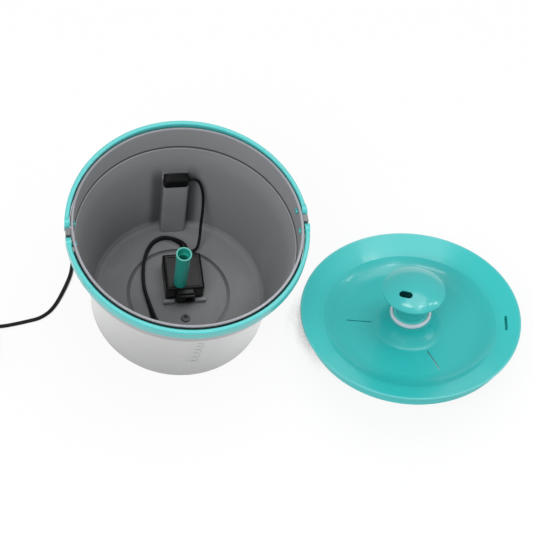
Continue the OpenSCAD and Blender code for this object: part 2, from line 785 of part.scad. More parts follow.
// The raised border on the pump's top, open where the riser's foot stands
module pump_border() {
    flat = [pump_w - 2 * pump_edge, pump_d - 2 * pump_edge];
    difference() {
        translate([pump_x, pump_front + pump_d / 2, pump_top - over]) linear_extrude(border_h + over)
            difference() {
                round_rect(flat, border_w + 0.4);
                round_rect(flat - 2 * [border_w, border_w], 0.4);
            }
        translate([0, 0, pump_top]) cylinder(r = riser_foot_r + border_clear, h = border_h + over);
    }
}

module pump_body() {
    color("#1d1f21") difference() {
        union() {
            translate([pump_x, pump_front + pump_d / 2, pump_z + pump_h / 2])
                round_block([pump_w, pump_d, pump_h], pump_edge);
            pump_border();
            translate([0, 0, pump_top - pump_edge])
                cylinder(r = nipple_r, h = nipple_h + pump_edge - nipple_edge);
            translate([0, 0, pump_top + nipple_h - nipple_edge])
                cylinder(r1 = nipple_r, r2 = nipple_r - nipple_edge, h = nipple_edge);
        }
        translate([0, 0, shaft_z]) cylinder(r = outlet_bore, h = pump_h + nipple_h);
        at_shaft() {
            along_y(chamber_r, pump_front - over, chamber_back);
            along_y(well_r, chamber_back - over, well_back);
            along_y(bush_r, well_back - over, well_back + bush_len);
        }
        for (x = [-1, 1], y = sucker_ys) translate([pump_x + x * sucker_x, y, pump_z - over])
            cylinder(r = sucker_stem + fit_clear, h = sucker_stem_h + over + 0.2);
        translate([lead_exit.x, 0, lead_exit.z])
            along_y(grommet_r, pump_back - grommet_in - 0.1, pump_back + over);
        for (x = [-1, 1], i = [0:groove_count - 1])
            translate([pump_x + x * pump_w / 2, pump_back - 8 - i * groove_step, pump_z + pump_h / 2])
                cube([2 * side_groove, side_groove * 3, pump_h - 2 * groove_margin], center = true);
    }
}

module rear_bush() {
    color("#d8d2c4") at_shaft() difference() {
        along_y(bush_r - fit_clear, well_back, well_back + bush_len);
        along_y(shaft_r + fit_clear, well_back - over, well_back + bush_len + over);
    }
}

module impeller_shaft() {
    color("#c4c7ca") at_shaft() along_y(shaft_r, pump_front - eye_plate + 0.2, shaft_back);
}

module suction_foot(i) {
    x = pump_x + (i % 2 == 0 ? -1 : 1) * sucker_x;
    y = sucker_ys[floor(i / 2)];
    color("#2c2e30") translate([x, y, floor_z]) rotate_extrude() polygon([
        [0, 0.9], [sucker_r - 2, 0.6], [sucker_r - 0.4, 0], [sucker_r, 0], [sucker_r - 0.3, 0.5],
        [sucker_stem + 1.2, sucker_h - 0.7], [sucker_stem + 0.8, sucker_h],
        [sucker_stem, sucker_h], [sucker_stem, sucker_h + sucker_stem_h], [0, sucker_h + sucker_stem_h]
    ]);
}

module pump_lead() color("#151618") cord_tube(lead_route, lead_d, [1, 0, 0]);

module lead_grommet() {
    color("#26282a") translate([lead_exit.x, pump_back, lead_exit.z]) {
        along_y(grommet_r - fit_clear, -grommet_in, over);
        rotate([-90, 0, 0]) cylinder(r1 = grommet_r + 0.6, r2 = lead_d / 2 + 0.5, h = grommet_len);
    }
}

module connector() {
    color("#1c1e20") translate([col_x, socket_y, col_h]) difference() {
        union() {
            translate([0, 0, plug_h / 2]) intersection() {
                translate([0, 0, -plug_edge])
                    round_block([plug_w, plug_d, plug_h + 2 * plug_edge], plug_edge);
                cube([plug_w, plug_d, plug_h], center = true);
            }
            translate([plug_w / 2 - over, 0.1, 5]) rotate([0, 90, 0])
                cylinder(r1 = lead_d / 2 + 1, r2 = lead_d / 2 + 0.5, h = 2 + over);
        }
        translate([0, 0, -over]) linear_extrude(socket_h + loose_clear + over)
            round_rect([socket_w + 2 * loose_clear, socket_d + 2 * loose_clear], 2.2);
        translate([0, 0, -over]) linear_extrude(socket_seal_t + 0.1 + over)
            round_rect([socket_w + 2 * socket_seal_w + 0.4, socket_d + 2 * socket_seal_w + 0.2], 3.6);
        for (x = [-1, 1]) translate([x * contact_pitch / 2, 0, 0])
            cylinder(r = contact_r + 0.8, h = plug_h - 1);
    }
}

module connector_contacts() {
    color("#c9a85a") for (x = [-1, 1])
        translate([col_x + x * contact_pitch / 2, socket_y, col_h]) difference() {
            translate([0, 0, socket_h + loose_clear + 0.2])
                cylinder(r = contact_r + 0.75, h = plug_h - 1 - socket_h - loose_clear - 0.2);
            cylinder(r = contact_r + 0.06, h = pin_up + 0.4);
        }
}

module inlet_cover() {
    front = pump_front - cover_d;
    plate = pump_front - eye_plate;
    slot_span = (grille_count - 1) * grille_pitch;
    color("#222426") at_shaft() difference() {
        union() {
            translate([0, 0, cover_up]) rotate([-90, 0, 0]) translate([0, 0, front])
                linear_extrude(cover_d) round_rect([cover_w, cover_h], 2.4);
            for (z = [-1, 1]) {
                rail_at = z * (regulator_h / 2 + 0.1 + rail_t / 2);
                translate([-cover_w / 2 + rail_start, front - regulator_t - 0.1, rail_at - rail_t / 2])
                    cube([rail_len, regulator_t + 0.1 + over / 2, rail_t]);
                translate([-cover_w / 2 + rail_start, front - regulator_t - 0.1 - rail_lip,
                        rail_at - z * rail_lip / 2 - (rail_t + rail_lip) / 2])
                    cube([rail_len, rail_lip, rail_t + rail_lip]);
            }
        }
        difference() {
            along_y(chamber_r - 0.4, front + grille_wall, plate);
            along_y(spider_r, front + grille_wall, plate + over);
        }
        difference() {
            along_y(eye_r, plate - over, pump_front + over);
            along_y(spider_r, plate - 2 * over, pump_front + over);
            for (a = [90, 210, 330]) rotate([0, a, 0])
                translate([0, plate, -spider_t / 2]) cube([eye_r + over, eye_plate, spider_t]);
        }
        along_y(front_bush_r + fit_clear, front + grille_wall, pump_front + over);
        for (i = [0:grille_count - 1])
            translate([i * grille_pitch - slot_span / 2 - grille_slot / 2, front - over, -grille_h / 2])
                cube([grille_slot, grille_wall + 2 * over, grille_h]);
    }
}

module front_bush() {
    color("#d8d2c4") at_shaft() difference() {
        along_y(front_bush_r, pump_front - cover_d + grille_wall + 0.1, pump_front + front_bush_out);
        along_y(shaft_r + fit_clear, pump_front - cover_d, pump_front + front_bush_out + over);
    }
}

module flow_regulator() {
    front = pump_front - cover_d - regulator_t - 0.05;
    color("#3b3e41") at_shaft() translate([-cover_w / 2 + rail_start + 0.2 + regulator_w / 2, 0, 0]) {
        translate([0, front + regulator_t / 2, 0])
            cube([regulator_w, regulator_t, regulator_h], center = true);
        along_y(1.3, front - 1.2, front + over / 2);
        for (x = [-1, 1]) translate([x * 2.4, front - 0.25, 0]) cube([0.6, 0.7, 5], center = true);
    }
}

module impeller() {
    color("#e4e4e0") at_shaft() difference() {
        union() {
            along_y(sleeve_r, vane_front, magnet_y + magnet_len + 0.8);
            along_y(vane_r, disc_y, disc_y + disc_t);
            along_y(magnet_r, disc_y + disc_t / 2, magnet_y);
            translate([0, vane_front, 0]) rotate([-90, 0, 0])
                linear_extrude(disc_y + disc_t / 2 - vane_front) vanes();
        }
        along_y(shaft_r + fit_clear, vane_front - over, magnet_y + magnet_len + 2 * over);
    }
}

// Vanes that lean back from the way the impeller turns
module vanes() {
    intersection() {
        for (i = [0:vane_count - 1]) rotate(i * 360 / vane_count)
            translate([0, vane_lean]) square([2 * vane_r, vane_t]);
        circle(vane_r);
    }
}

module rotor_magnet() {
    color("#3a3a3c") at_shaft() difference() {
        along_y(magnet_r, magnet_y, magnet_y + magnet_len);
        along_y(sleeve_r + fit_clear, magnet_y - over, magnet_y + magnet_len + over);
    }
}

// Riser ---------------------------------------------------------------------

module riser_tube() {
    top = pump_top + riser_h;
    color("#2f9c90") rotate_extrude() polygon(concat(
        [[riser_bore + 0.4, pump_top], [riser_foot_r - 0.4, pump_top], [riser_foot_r, pump_top + 0.4]],
        [[riser_mouth_r - 0.5, top - mouth_lip - 1], [riser_mouth_r, top - mouth_lip]],
        arc([riser_mouth_r - 0.5, top - 0.5], 0.5, 0, 90, 3),
        [[mouth_r + 0.4, top], [mouth_r, top - 0.5], [mouth_r, top - mouth_depth],
         [riser_bore, top - mouth_depth - over], [riser_bore, pump_top + 0.4]]
    ));
}

// Tray ----------------------------------------------------------------------

module tray_shell() {
    under = -tray_depth - tray_wall;
    cup_r = hub_bore_r + tray_wall;
    rotate_extrude($fn = fine) polygon(concat(
        [[skirt_r, flange_h(skirt_r) - tray_drop], [tray_r - 0.8, flange_h(tray_r) - tray_drop - 0.3],
         [tray_r, flange_h(tray_r) - tray_drop + 0.3]],
        arc([tray_r - 0.9, -0.9], 0.9, 0, 90, 3),
        [[tray_r - flange_in, -0.4]],
        [for (i = [0:bowl_steps]) let (r = crease_r + (tray_floor_r - crease_r) * i / bowl_steps)
            [r, bowl_h(r)]],
        [[hub_foot_r + 2.5, -tray_depth], [hub_foot_r + 0.6, -tray_depth + 0.3]],
        [for (i = [0:hub_steps]) let (t = i / hub_steps)
            [hub_r(t), -tray_depth + 1 + (tray_depth - 1 - hub_drop) * t]],
        [[hub_bore_r, -hub_drop], [hub_bore_r, cup_floor], [spigot_hole_r, cup_floor],
         [spigot_hole_r, cup_floor - cup_floor_t], [cup_r, cup_floor - cup_floor_t],
         [cup_r, -hub_drop - tray_wall]],
        [for (i = [hub_steps:-1:0]) let (t = i / hub_steps)
            [hub_r(t) - tray_wall * 0.95,
             -tray_depth - tray_wall * 0.4 + (tray_depth - 0.6 * tray_wall - hub_drop) * t]],
        [[hub_foot_r + 1, under]],
        [for (i = [0:bowl_steps]) let (r = tray_floor_r + (crease_r - tray_floor_r) * i / bowl_steps)
            [r + tray_wall * sin(bowl_a(r)), bowl_h(r) - tray_wall * cos(bowl_a(r))]],
        [[skirt_r - tray_wall, flange_h(skirt_r - tray_wall) - tray_drop],
         [skirt_r - tray_wall, -skirt_h + 0.3], [skirt_r - tray_wall + 0.3, -skirt_h], [skirt_r, -skirt_h]]
    ));
}

module tray() {
    color("#45bdb8") at_tray() difference() {
        tray_shell();
        for (i = [0:slit_count - 1]) rotate([0, 0, slit_turn + i * 360 / slit_count])
            translate([slit_in_r, -slit_w / 2, -tray_depth - tray_wall - over])
                cube([slit_len, slit_w, tray_wall + 2 * over]);
        rotate([0, 0, slot_turn]) translate([slot_r, 0, -tray_depth])
            linear_extrude(tray_depth) round_rect([slot_w, slot_len], slot_w / 2 - 0.05);
    }
}

module seal_ring() {
    color("#e9e8ec") at_tray() translate([0, 0, -hub_drop + seal_h / 2]) rotate_extrude($fn = fine)
        translate([seal_in_r + seal_w / 2, 0]) round_rect([seal_w, seal_h], 1.3);
}

// Spout ---------------------------------------------------------------------

module spout_stem() {
    color("#45bdb8") at_tray() rotate_extrude($fn = fine) polygon(concat(
        [[spigot_r - spigot_wall, -spigot_tip], [spigot_r - 0.4, -spigot_tip],
         [spigot_r, -spigot_tip + 0.4],
         [spigot_r, cup_floor], [neck_r - 0.6, cup_floor], [neck_r, cup_floor + 0.6]],
        [for (i = [0:trumpet_steps]) let (h = neck_h + (flare_top - neck_h) * i / trumpet_steps)
            [trumpet_r(h), h]],
        [for (i = [trumpet_steps:-1:0]) let (h = neck_h + (flare_top - neck_h) * i / trumpet_steps)
            [trumpet_r(h) - spout_wall, h]],
        [[neck_r - spout_wall, cup_floor + spout_wall + 1],
         [spigot_r - spigot_wall + 1, cup_floor + spout_wall],
         [spigot_r - spigot_wall, cup_floor + spout_wall - 1]]
    ));
}

module spout_cap() {
    color("#45bdb8") at_tray() difference() {
        rotate_extrude($fn = fine) polygon(concat(
            [[dome_r - 0.5, flare_top]],
            [[dome_r, flare_top + 0.5]],
            [for (i = [0:dome_steps]) let (a = dome_edge_a * (1 - i / dome_steps))
                [dome_ball * sin(a), dome_mid + dome_ball * cos(a)]],
            [for (i = [dome_steps:-1:1]) let (a = cap_inner_a * (1 - i / dome_steps))
                [(dome_ball - spout_wall) * sin(a), dome_mid + (dome_ball - spout_wall) * cos(a)]],
            [[plug_ring_r, flare_top + 0.2], [plug_ring_r, flare_top - plug_ring_h],
             [plug_ring_r + 1.2, flare_top - plug_ring_h], [plug_ring_r + 1.4, flare_top]]
        ));
        rotate([0, 0, outlet_turn]) translate([0, 0, dome_mid]) rotate([0, asin(outlet_at / dome_ball), 0])
            rotate([0, 0, outlet_twist]) translate([0, 0, dome_ball - spout_wall * 4])
                linear_extrude(spout_wall * 6)
                    round_rect([2 * outlet_half_w, 2 * outlet_half_l], outlet_half_w - 0.05);
    }
}

tank();
rear_handle();
front_handle();
column_socket();
socket_pins();
socket_seal();
cord_gland();
inner_lead();
power_cord();
cord_coil();
cord_tie();
usb_grip();
usb_shell();
pump_body();
rear_bush();
impeller_shaft();
suction_foot(0);  // suction_foot_1
suction_foot(1);  // suction_foot_2
suction_foot(2);  // suction_foot_3
suction_foot(3);  // suction_foot_4
pump_lead();
lead_grommet();
connector();
connector_contacts();
inlet_cover();
front_bush();
flow_regulator();
impeller();
rotor_magnet();
riser_tube();
tray();
seal_ring();
spout_stem();
spout_cap();
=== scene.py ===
"""Pet water fountain opened for cleaning: its finishes, cords, small details, stage and camera."""
import math

import bmesh
import bpy
from bpy.props import FloatProperty, FloatVectorProperty, IntProperty, PointerProperty
from mathutils import Matrix, Vector


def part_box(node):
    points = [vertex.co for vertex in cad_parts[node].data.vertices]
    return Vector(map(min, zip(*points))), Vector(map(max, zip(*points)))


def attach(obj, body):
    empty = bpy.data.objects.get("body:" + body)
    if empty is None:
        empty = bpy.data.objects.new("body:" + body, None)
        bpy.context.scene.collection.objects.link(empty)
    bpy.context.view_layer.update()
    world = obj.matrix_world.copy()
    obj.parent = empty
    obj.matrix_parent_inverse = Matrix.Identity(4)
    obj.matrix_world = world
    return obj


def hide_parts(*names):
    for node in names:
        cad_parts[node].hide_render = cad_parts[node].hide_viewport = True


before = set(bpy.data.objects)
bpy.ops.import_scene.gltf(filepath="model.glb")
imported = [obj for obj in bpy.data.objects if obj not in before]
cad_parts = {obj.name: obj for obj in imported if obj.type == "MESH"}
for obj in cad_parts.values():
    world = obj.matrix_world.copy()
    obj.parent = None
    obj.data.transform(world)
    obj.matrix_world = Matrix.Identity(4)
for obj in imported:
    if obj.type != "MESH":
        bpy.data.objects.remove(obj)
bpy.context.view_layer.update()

bl_info = {
    "name": "Pet water fountain",
    "version": (1, 0, 0),
    "blender": (4, 5, 0),
    "location": "View3D > Sidebar > Fountain",
    "description": "Dresses an opened pet water fountain: tank, pump, drinking tray, spout and cords",
    "category": "Object",
}

MM = 0.001

# The tank, in metres, as its solid has it; the column stands behind COLUMN_Y
RIM_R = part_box("tank")[1].y
RIM_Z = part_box("tank")[1].z
FOOT_R = 0.0805
LEDGE_Z = 0.104
LEDGE_R = 0.0981
LEDGE_IN_R = 0.09635
COLLAR_STEP = 0.0017
FLARE = 1.6
TANK_WALL = 0.002
TANK_FLOOR_Z = 0.007
GROOVE_R = 0.0464
BOSS_AT = (0.0036, -0.0261, 0.008)
BOSS_R = 0.0046
COLUMN_X = 0.0018
COLUMN_HALF_W = 0.0116
COLUMN_TOP = 0.0775
COLUMN_Y = 0.05
MARK_AZIMUTH = math.radians(-86.3)

# The tray, as it leans on the table: metres for its place, millimetres for what is turned on it
TRAY_MID = Vector((0.205994, -0.051360, 0.037634))
TRAY_LEAN = Matrix.Rotation(math.radians(14), 4, "Y")
LEAN_AZIMUTH = math.radians(103.5)
TRAY_PLACE = (
    Matrix.Translation(TRAY_MID) @ Matrix.Rotation(LEAN_AZIMUTH, 4, "Z") @ TRAY_LEAN
    @ Matrix.Rotation(-LEAN_AZIMUTH, 4, "Z"))
TRAY_UP = TRAY_PLACE.to_3x3() @ Vector((0, 0, 1))
CREASE_R = 0.0803
FLANGE_R = 99.2
FLANGE_Z = -1.4
FLANGE_SLOPE = 0.4898
SLOT_R = 88
SLOT_AZIMUTH = math.radians(-13.2)

# Routes, in millimetres
LEAD_ROUTE = [
    (12, 36.5, 16), (12, 42, 15.6), (10.5, 48, 14.6), (6, 53.3, 13.2), (-1, 57.2, 12.2),
    (-9, 58.8, 11.8), (-17.2, 55.4, 11.5), (-23.4, 48, 11.5), (-27.4, 38.6, 11.5),
    (-29.8, 28.6, 11.5), (-31, 18, 11.5), (-31.2, 7.6, 11.5), (-29.8, -2.6, 11.5),
    (-27.6, -12.8, 11.5), (-25, -22.8, 11.3), (-21.6, -32, 10.4), (-17, -40.4, 9.2),
    (-11, -47, 8.5), (-6.4, -54, 8.4), (-8.4, -61.2, 8.4), (-14.8, -64.2, 8.4),
    (-21.2, -61, 8.4), (-24.6, -53.5, 8.4), (-26.2, -44, 8.4), (-26.2, -33.6, 8.4),
    (-26.8, -23.5, 8.4), (-28.2, -13, 8.4), (-29.9, -2.5, 8.4), (-31.2, 8, 8.4),
    (-31.2, 18.5, 8.4), (-30, 29, 8.4), (-27.4, 39, 8.4), (-23, 48.2, 8.4),
    (-16.6, 55.6, 8.4), (-8.6, 59, 8.4), (-0.5, 58.2, 8.4), (6, 53.4, 8.4),
    (10.5, 47.4, 8.4), (16, 43.4, 9), (21.8, 44.4, 12), (24.6, 50.6, 18.5),
    (25.8, 58, 29), (27.6, 66.5, 41), (28, 73, 52.5), (26.6, 77.4, 63),
    (23.2, 79.6, 72), (18.6, 80, 76.3), (15.3, 80, 77),
]
INNER_ROUTE = [
    (1.8, 76.2, 10), (1.8, 75.2, 10), (1.8, 73.6, 11.4), (1.8, 73, 14.6), (1.8, 73.84, 20.5),
    (1.8, 74.9, 29.4), (1.8, 76.43, 42.2), (1.8, 79.27, 52), (1.8, 79.87, 60), (1.8, 79.87, 64),
]
CORD_ROUTE = [
    (1.8, 107.8, 10), (1, 115, 9.4), (-2.5, 123.2, 7), (-8.5, 129.8, 4), (-15.5, 133, 2.4),
    (-23, 134.2, 1.9), (-31, 133.2, 1.8), (-41.5, 129, 1.8), (-52.5, 122, 1.8),
    (-63.5, 112.5, 1.8), (-73.5, 100, 1.8), (-82, 86, 1.8), (-88.5, 71, 1.8),
    (-92.5, 56, 1.8), (-94.5, 42, 1.8), (-97.2, 30.5, 1.8), (-102, 19.5, 1.8),
    (-107.2, 9.5, 1.8), (-113, 0, 1.8), (-120, -7.8, 1.8), (-129, -13, 1.8),
    (-139.5, -15.4, 1.8), (-150, -17.2, 1.8), (-160, -18.6, 2), (-170, -19, 2.4),
    (-177.4, -19, 2.55),
]
COIL_MID = (-193, -41)
COIL_RADII = (16, 19.5, 23)
COIL_LAYERS = (2.55, 6.05, 9.55)
COIL_CELLS = [(2, 0), (1, 0), (0, 0), (0, 1), (0, 2), (1, 2), (1, 1), (2, 1), (2, 2)]
PLUG_TAIL = [(-219.4, -44.2, 3.8), (-218.3, -48.4, 3.8), (-216.9, -51.9, 3.8), (-216, -54.6, 3.8)]
CORD_SIDES = 14

# The camera: its lens in millimetres, its place, and its own three directions
LENS = 101.3133
CAMERA_AT = (-0.15776, -0.65711, 1.22234)
CAMERA_RIGHT = (0.98303569, -0.13933815, 0.11927161)
CAMERA_UP = (0.06241789, 0.86561641, 0.496802)
CAMERA_BACK = (-0.17246694, -0.48092942, 0.85962902)

# The stage: a round table, its paper, and the lamps as (name, place, aim, size, power in watts)
TABLE_X = 0.05
TABLE_Z = -0.0001
TABLE_RADII = (0.6, 6.0)
TABLE_SIDES = 48
CARD_SHARE = 0.6
GLOW_SHARE = 0.89
SHADE_REACH = 0.2
SHADE_LEFT = 0.05
SKY_STRENGTH = 0.52
STRIP_AIM, STRIP_SIZE = (0.2, -0.05, 0.05), (0.07, 0.5)
LAMPS = (
    ("key", (-0.75, -0.85, 1.55), (0.05, 0.0, 0.05), (0.9, 0.9), 13.0),
    ("top", (0.35, 0.5, 1.9), (0.05, 0.0, 0.0), (1.2, 1.2), 8.5),
    ("left side", (-1.3, -0.1, 0.5), (0.0, 0.0, 0.06), (0.8, 0.8), 1.8),
    ("right side", (1.5, -0.5, 0.5), (0.0, 0.0, 0.06), (0.8, 0.8), 3.6),
    ("strip 1", (-0.14, 0.2, 1.5), STRIP_AIM, STRIP_SIZE, 0.9),
    ("strip 2", (0.62, 0.12, 1.5), STRIP_AIM, STRIP_SIZE, 0.9),
    ("strip 3", (1.12, 0.22, 1.2), STRIP_AIM, STRIP_SIZE, 0.9),
)


def linear(red, green, blue):
    """A colour given as 0 to 255 screen numbers, in the linear numbers that a shader takes."""
    def one(value):
        value /= 255
        return value / 12.92 if value <= 0.04045 else ((value + 0.055) / 1.055) ** 2.4
    return (one(red), one(green), one(blue), 1.0)


def colour(name, red, green, blue):
    """A colour in the panel."""
    return FloatVectorProperty(
        name=name, description=f"Colour of the {name.lower()}", subtype="COLOR", size=4,
        min=0, max=1, default=linear(red, green, blue),
    )


def length(name, description, millimetres):
    """A length in the panel."""
    return FloatProperty(
        name=name, description=description, default=millimetres * MM, unit="LENGTH", min=0,
        precision=4,
    )


class FountainColours(bpy.types.PropertyGroup):
    """Colours of the fountain's materials"""
    tray: colour("Tray", 43, 182, 180)
    handle: colour("Handles", 84, 200, 198)
    spout: colour("Spout", 58, 184, 182)
    # Painted lighter than the spout, as painted light against the shade under the cap
    neck: colour("Neck", 84, 214, 210)
    riser: colour("Riser tube", 43, 180, 164)
    # Darker than the outside, partly as painted shade of the deep inside
    tank_inside: colour("Tank inside", 138, 139, 141)
    tank_outside: colour("Tank outside", 164, 164, 165)
    tank_rim: colour("Tank rim", 145, 145, 150)
    pump: colour("Pump", 6, 7, 8)
    black_plastic: colour("Black plastic", 26, 27, 29)
    soft_black: colour("Soft black grips", 30, 31, 33)
    # Dark strips that fill the gap round the rim as painted shade
    strip: colour("Gap shade strips", 26, 60, 64)
    jacket: colour("Cord jacket", 18, 19, 21)
    seal: colour("Black seals", 44, 45, 47)
    ring: colour("White ring", 226, 223, 232)
    brass: colour("Brass contacts", 214, 178, 106)
    steel: colour("Bright steel", 206, 208, 212)
    bush: colour("White bushes", 224, 221, 212)
    magnet: colour("Magnet", 58, 57, 60)
    floor: colour("Floor", 244, 244, 244)


class FountainSizes(bpy.types.PropertyGroup):
    """Sizes of the cords and small details"""
    cord_d: length("Power cord", "Diameter of the power cord", 3.5)
    cord_length: length("Power cord's length", "Length of the power cord", 1400)
    lead_d: length("Pump lead", "Diameter of the pump's lead", 2.8)
    lead_length: length("Pump lead's length", "Length of the pump's lead", 450)
    mark_count: IntProperty(
        name="Level marks", description="Ticks beside the level line", default=6, min=2, max=12)
    mark_low: length("Lowest mark", "Height of the lowest level mark", 36)
    mark_high: length("Highest mark", "Height of the highest level mark", 92)
    mark_w: length("Mark width", "Width of a level mark", 4.2)
    grip_ribs: IntProperty(
        name="Grip ribs", description="Ribs on each face of the plug's grip", default=7,
        min=3, max=9)
    grip_pitch: length("Rib pitch", "Distance between the grip's ribs", 1.9)


class Value:
    """A number or vector that runs through a node tree, and takes Python's operators."""

    def __init__(self, tree, socket):
        self.tree = tree
        self.socket = socket

    def math(self, operation, first, second=0.0):
        return self.tree.node("ShaderNodeMath", {"operation": operation}, {0: first, 1: second})

    def __add__(self, other):
        return self.math("ADD", self, other)

    __radd__ = __add__

    def __sub__(self, other):
        return self.math("SUBTRACT", self, other)

    def __rsub__(self, other):
        return self.math("SUBTRACT", other, self)

    def __mul__(self, other):
        return self.math("MULTIPLY", self, other)

    __rmul__ = __mul__

    def __truediv__(self, other):
        return self.math("DIVIDE", self, other)

    def __pow__(self, other):
        return self.math("POWER", self, other)

    def __abs__(self):
        return self.math("ABSOLUTE", self)

    def __gt__(self, other):
        return self.math("GREATER_THAN", self, other)

    def __lt__(self, other):
        return self.math("LESS_THAN", self, other)

    def root(self):
        return self.math("SQRT", self)

    def larger(self, other):
        return self.math("MAXIMUM", self, other)

    def smaller(self, other):
        return self.math("MINIMUM", self, other)

    def rise(self, low, high, to_low=0.0, to_high=1.0):
        """A smooth step from to_low at low to to_high at high."""
        return self.tree.node(
            "ShaderNodeMapRange", {"interpolation_type": "SMOOTHSTEP"},
            {"Value": self, "From Min": low, "From Max": high, "To Min": to_low, "To Max": to_high})

    def band(self, middle, half, soft):
        """1 within half of middle, and 0 past that and soft."""
        return abs(self - middle).rise(half, half + soft, 1.0, 0.0)


class Tree:
    """A node tree that is filled by expressions."""

    def __init__(self, tree):
        self.tree = tree

    def node(self, kind, settings=None, sockets=None, out=0):
        """A new node's output as a value, or a list of them where out is a row of names."""
        made = self.tree.nodes.new(kind)
        for name, value in (settings or {}).items():
            setattr(made, name, value)
        for name, value in (sockets or {}).items():
            if isinstance(value, Value):
                self.tree.links.new(value.socket, made.inputs[name])
            else:
                made.inputs[name].default_value = value
        if isinstance(out, tuple):
            return [Value(self, made.outputs[name]) for name in out]
        return Value(self, made.outputs[out]) if made.outputs else made


class Finish(Tree):
    """A material, with the patterns that moulded plastic, rubber and metal show."""

    def __init__(self, name):
        self.material = bpy.data.materials.new(name)
        self.material.use_nodes = True
        super().__init__(self.material.node_tree)
        self.tree.nodes.clear()
        self.place = self.node("ShaderNodeTexCoord", out="Object")

    def turned(self, location=(0, 0, 0), rotation=(0, 0, 0), scale=(1, 1, 1), kind="TEXTURE"):
        """The place on the surface, seen from a shifted, turned or stretched frame."""
        return self.node(
            "ShaderNodeMapping", {"vector_type": kind},
            {"Vector": self.place, "Location": location, "Rotation": rotation, "Scale": scale})

    def axes(self, vector):
        """The three parts of a vector."""
        return self.node("ShaderNodeSeparateXYZ", {}, {0: vector}, out=("X", "Y", "Z"))

    def away_from(self, point):
        """Distance of the surface from a point."""
        return self.node(
            "ShaderNodeVectorMath", {"operation": "DISTANCE"}, {0: self.place, 1: point}, out="Value")

    def clouds(self, scale, detail=2.0, vector=None, roughness=0.5):
        """Soft noise with about that many lumps to the metre."""
        return self.node(
            "ShaderNodeTexNoise", {},
            {"Vector": vector or self.place, "Scale": scale, "Detail": detail,
             "Roughness": roughness})

    def specks(self, scale, size):
        """Small round spots, on about one cell in five."""
        distance, cell = self.node(
            "ShaderNodeTexVoronoi", {}, {"Vector": self.place, "Scale": scale},
            out=("Distance", "Color"))
        chosen = self.axes(cell)[0] > 0.8
        return distance.rise(size * 0.6, size, 1.0, 0.0) * chosen

    def hairlines(self, scale, share, turn=0.0):
        """Fine scratches that run one way, on the given share of the surface."""
        along = self.turned(rotation=(0, 0.3, turn), scale=(1, 0.045, 0.3), kind="POINT")
        lines = self.clouds(scale, 2.0, along, 0.55)
        patches = self.clouds(38.0, 1.0, self.turned(location=(turn, 0, 0), kind="POINT"))
        return lines.rise(0.64, 0.7) * patches.rise(1 - share - 0.15, 1 - share + 0.15)

    def mix(self, factor, first, second):
        """A blend of two colours, from first at 0 to second at 1."""
        return self.node(
            "ShaderNodeMix", {"data_type": "RGBA"}, {0: factor, 6: first, 7: second}, out=2)

    def shade(self, tone, by):
        """tone, made lighter or darker by a factor that runs over the surface."""
        bright = self.node("ShaderNodeCombineXYZ", {}, {0: by, 1: by, 2: by})
        return self.node(
            "ShaderNodeMix", {"data_type": "RGBA", "blend_type": "MULTIPLY"},
            {0: 1.0, 6: tone, 7: bright}, out=2)

    def surface(self, tone, roughness, relief=(), **fixed):
        """The shader: relief is a row of (height, depth in metres, strength)."""
        normal = None
        for height, depth, strength in relief:
            sockets = {"Height": height, "Distance": depth, "Strength": strength}
            if normal is not None:
                sockets["Normal"] = normal
            normal = self.node("ShaderNodeBump", {}, sockets)
        sockets = {"Base Color": tone, "Roughness": roughness}
        if normal is not None:
            sockets["Normal"] = normal
        sockets.update(fixed)
        shader = self.node("ShaderNodeBsdfPrincipled", {}, sockets)
        self.node("ShaderNodeOutputMaterial", {}, {"Surface": shader})
        return self.material


def gloss_plastic(name, tone, roughness, coat, turn=0.0, rim=None, lift=None, shine=0.12):
    """Glossy moulded plastic: flow clouds, hairline scratches and dust.

    rim gives where a painted highlight makes it paler, and lift the painted light and shade over it.
    """
    finish = Finish(name)
    flow = finish.clouds(11.0, 2.0)
    grain = finish.clouds(1500.0, 2.0)
    scratches = finish.hairlines(1500.0, 0.45, turn) + finish.hairlines(1100.0, 0.35, turn + 1.2)
    dust = finish.specks(430.0, 0.16)
    cast = flow * 0.1 + 0.95
    # lift paints light and shade into the tone
    if lift:
        cast = cast * lift(finish)
    shaded = finish.shade(tone, cast)
    pale = tuple(0.55 * channel + 0.45 * 0.9 for channel in tone[:3]) + (1.0,)
    marked = finish.mix(scratches * 0.1 + dust * 0.16, shaded, pale)
    # rim paints a highlight in the pale tone
    if rim:
        marked = finish.mix(rim(finish) * 0.22, marked, pale)
    rough = roughness + (flow - 0.5) * 0.1 + scratches * 0.12 + dust * 0.2
    waves = finish.clouds(60.0, 1.0)
    return finish.surface(
        marked, rough,
        [(waves, 0.0006, 0.35), (grain, 0.00006, 0.25), (scratches, 0.00004, -0.4)],
        **{"Coat Weight": coat, "Coat Roughness": shine, "IOR": 1.49},
    )


def satin_black(name, tone, roughness, coat=0.0, gloss=0.5):
    """Dark plastic with a fine spark-eroded grain, rubbed smoother in patches, and dust."""
    finish = Finish(name)
    grain = finish.clouds(1400.0, 3.0, roughness=0.65)
    patches = finish.clouds(55.0, 3.0)
    dust = finish.specks(620.0, 0.17)
    scratches = finish.hairlines(1700.0, 0.4, 0.5)
    base = finish.shade(tone, patches * 0.4 + 0.8)
    dulled = dust * 0.22 + scratches * 0.12 + patches.rise(0.55, 0.8) * 0.03
    dusty = finish.mix(dulled, base, (0.32, 0.32, 0.33, 1))
    rough = roughness + (patches - 0.5) * 0.2 + dust * 0.3
    return finish.surface(
        dusty, rough, [(grain, 0.00008, 0.5)],
        **{"Coat Weight": coat, "Coat Roughness": 0.18, "IOR": 1.5, "Specular IOR Level": gloss},
    )


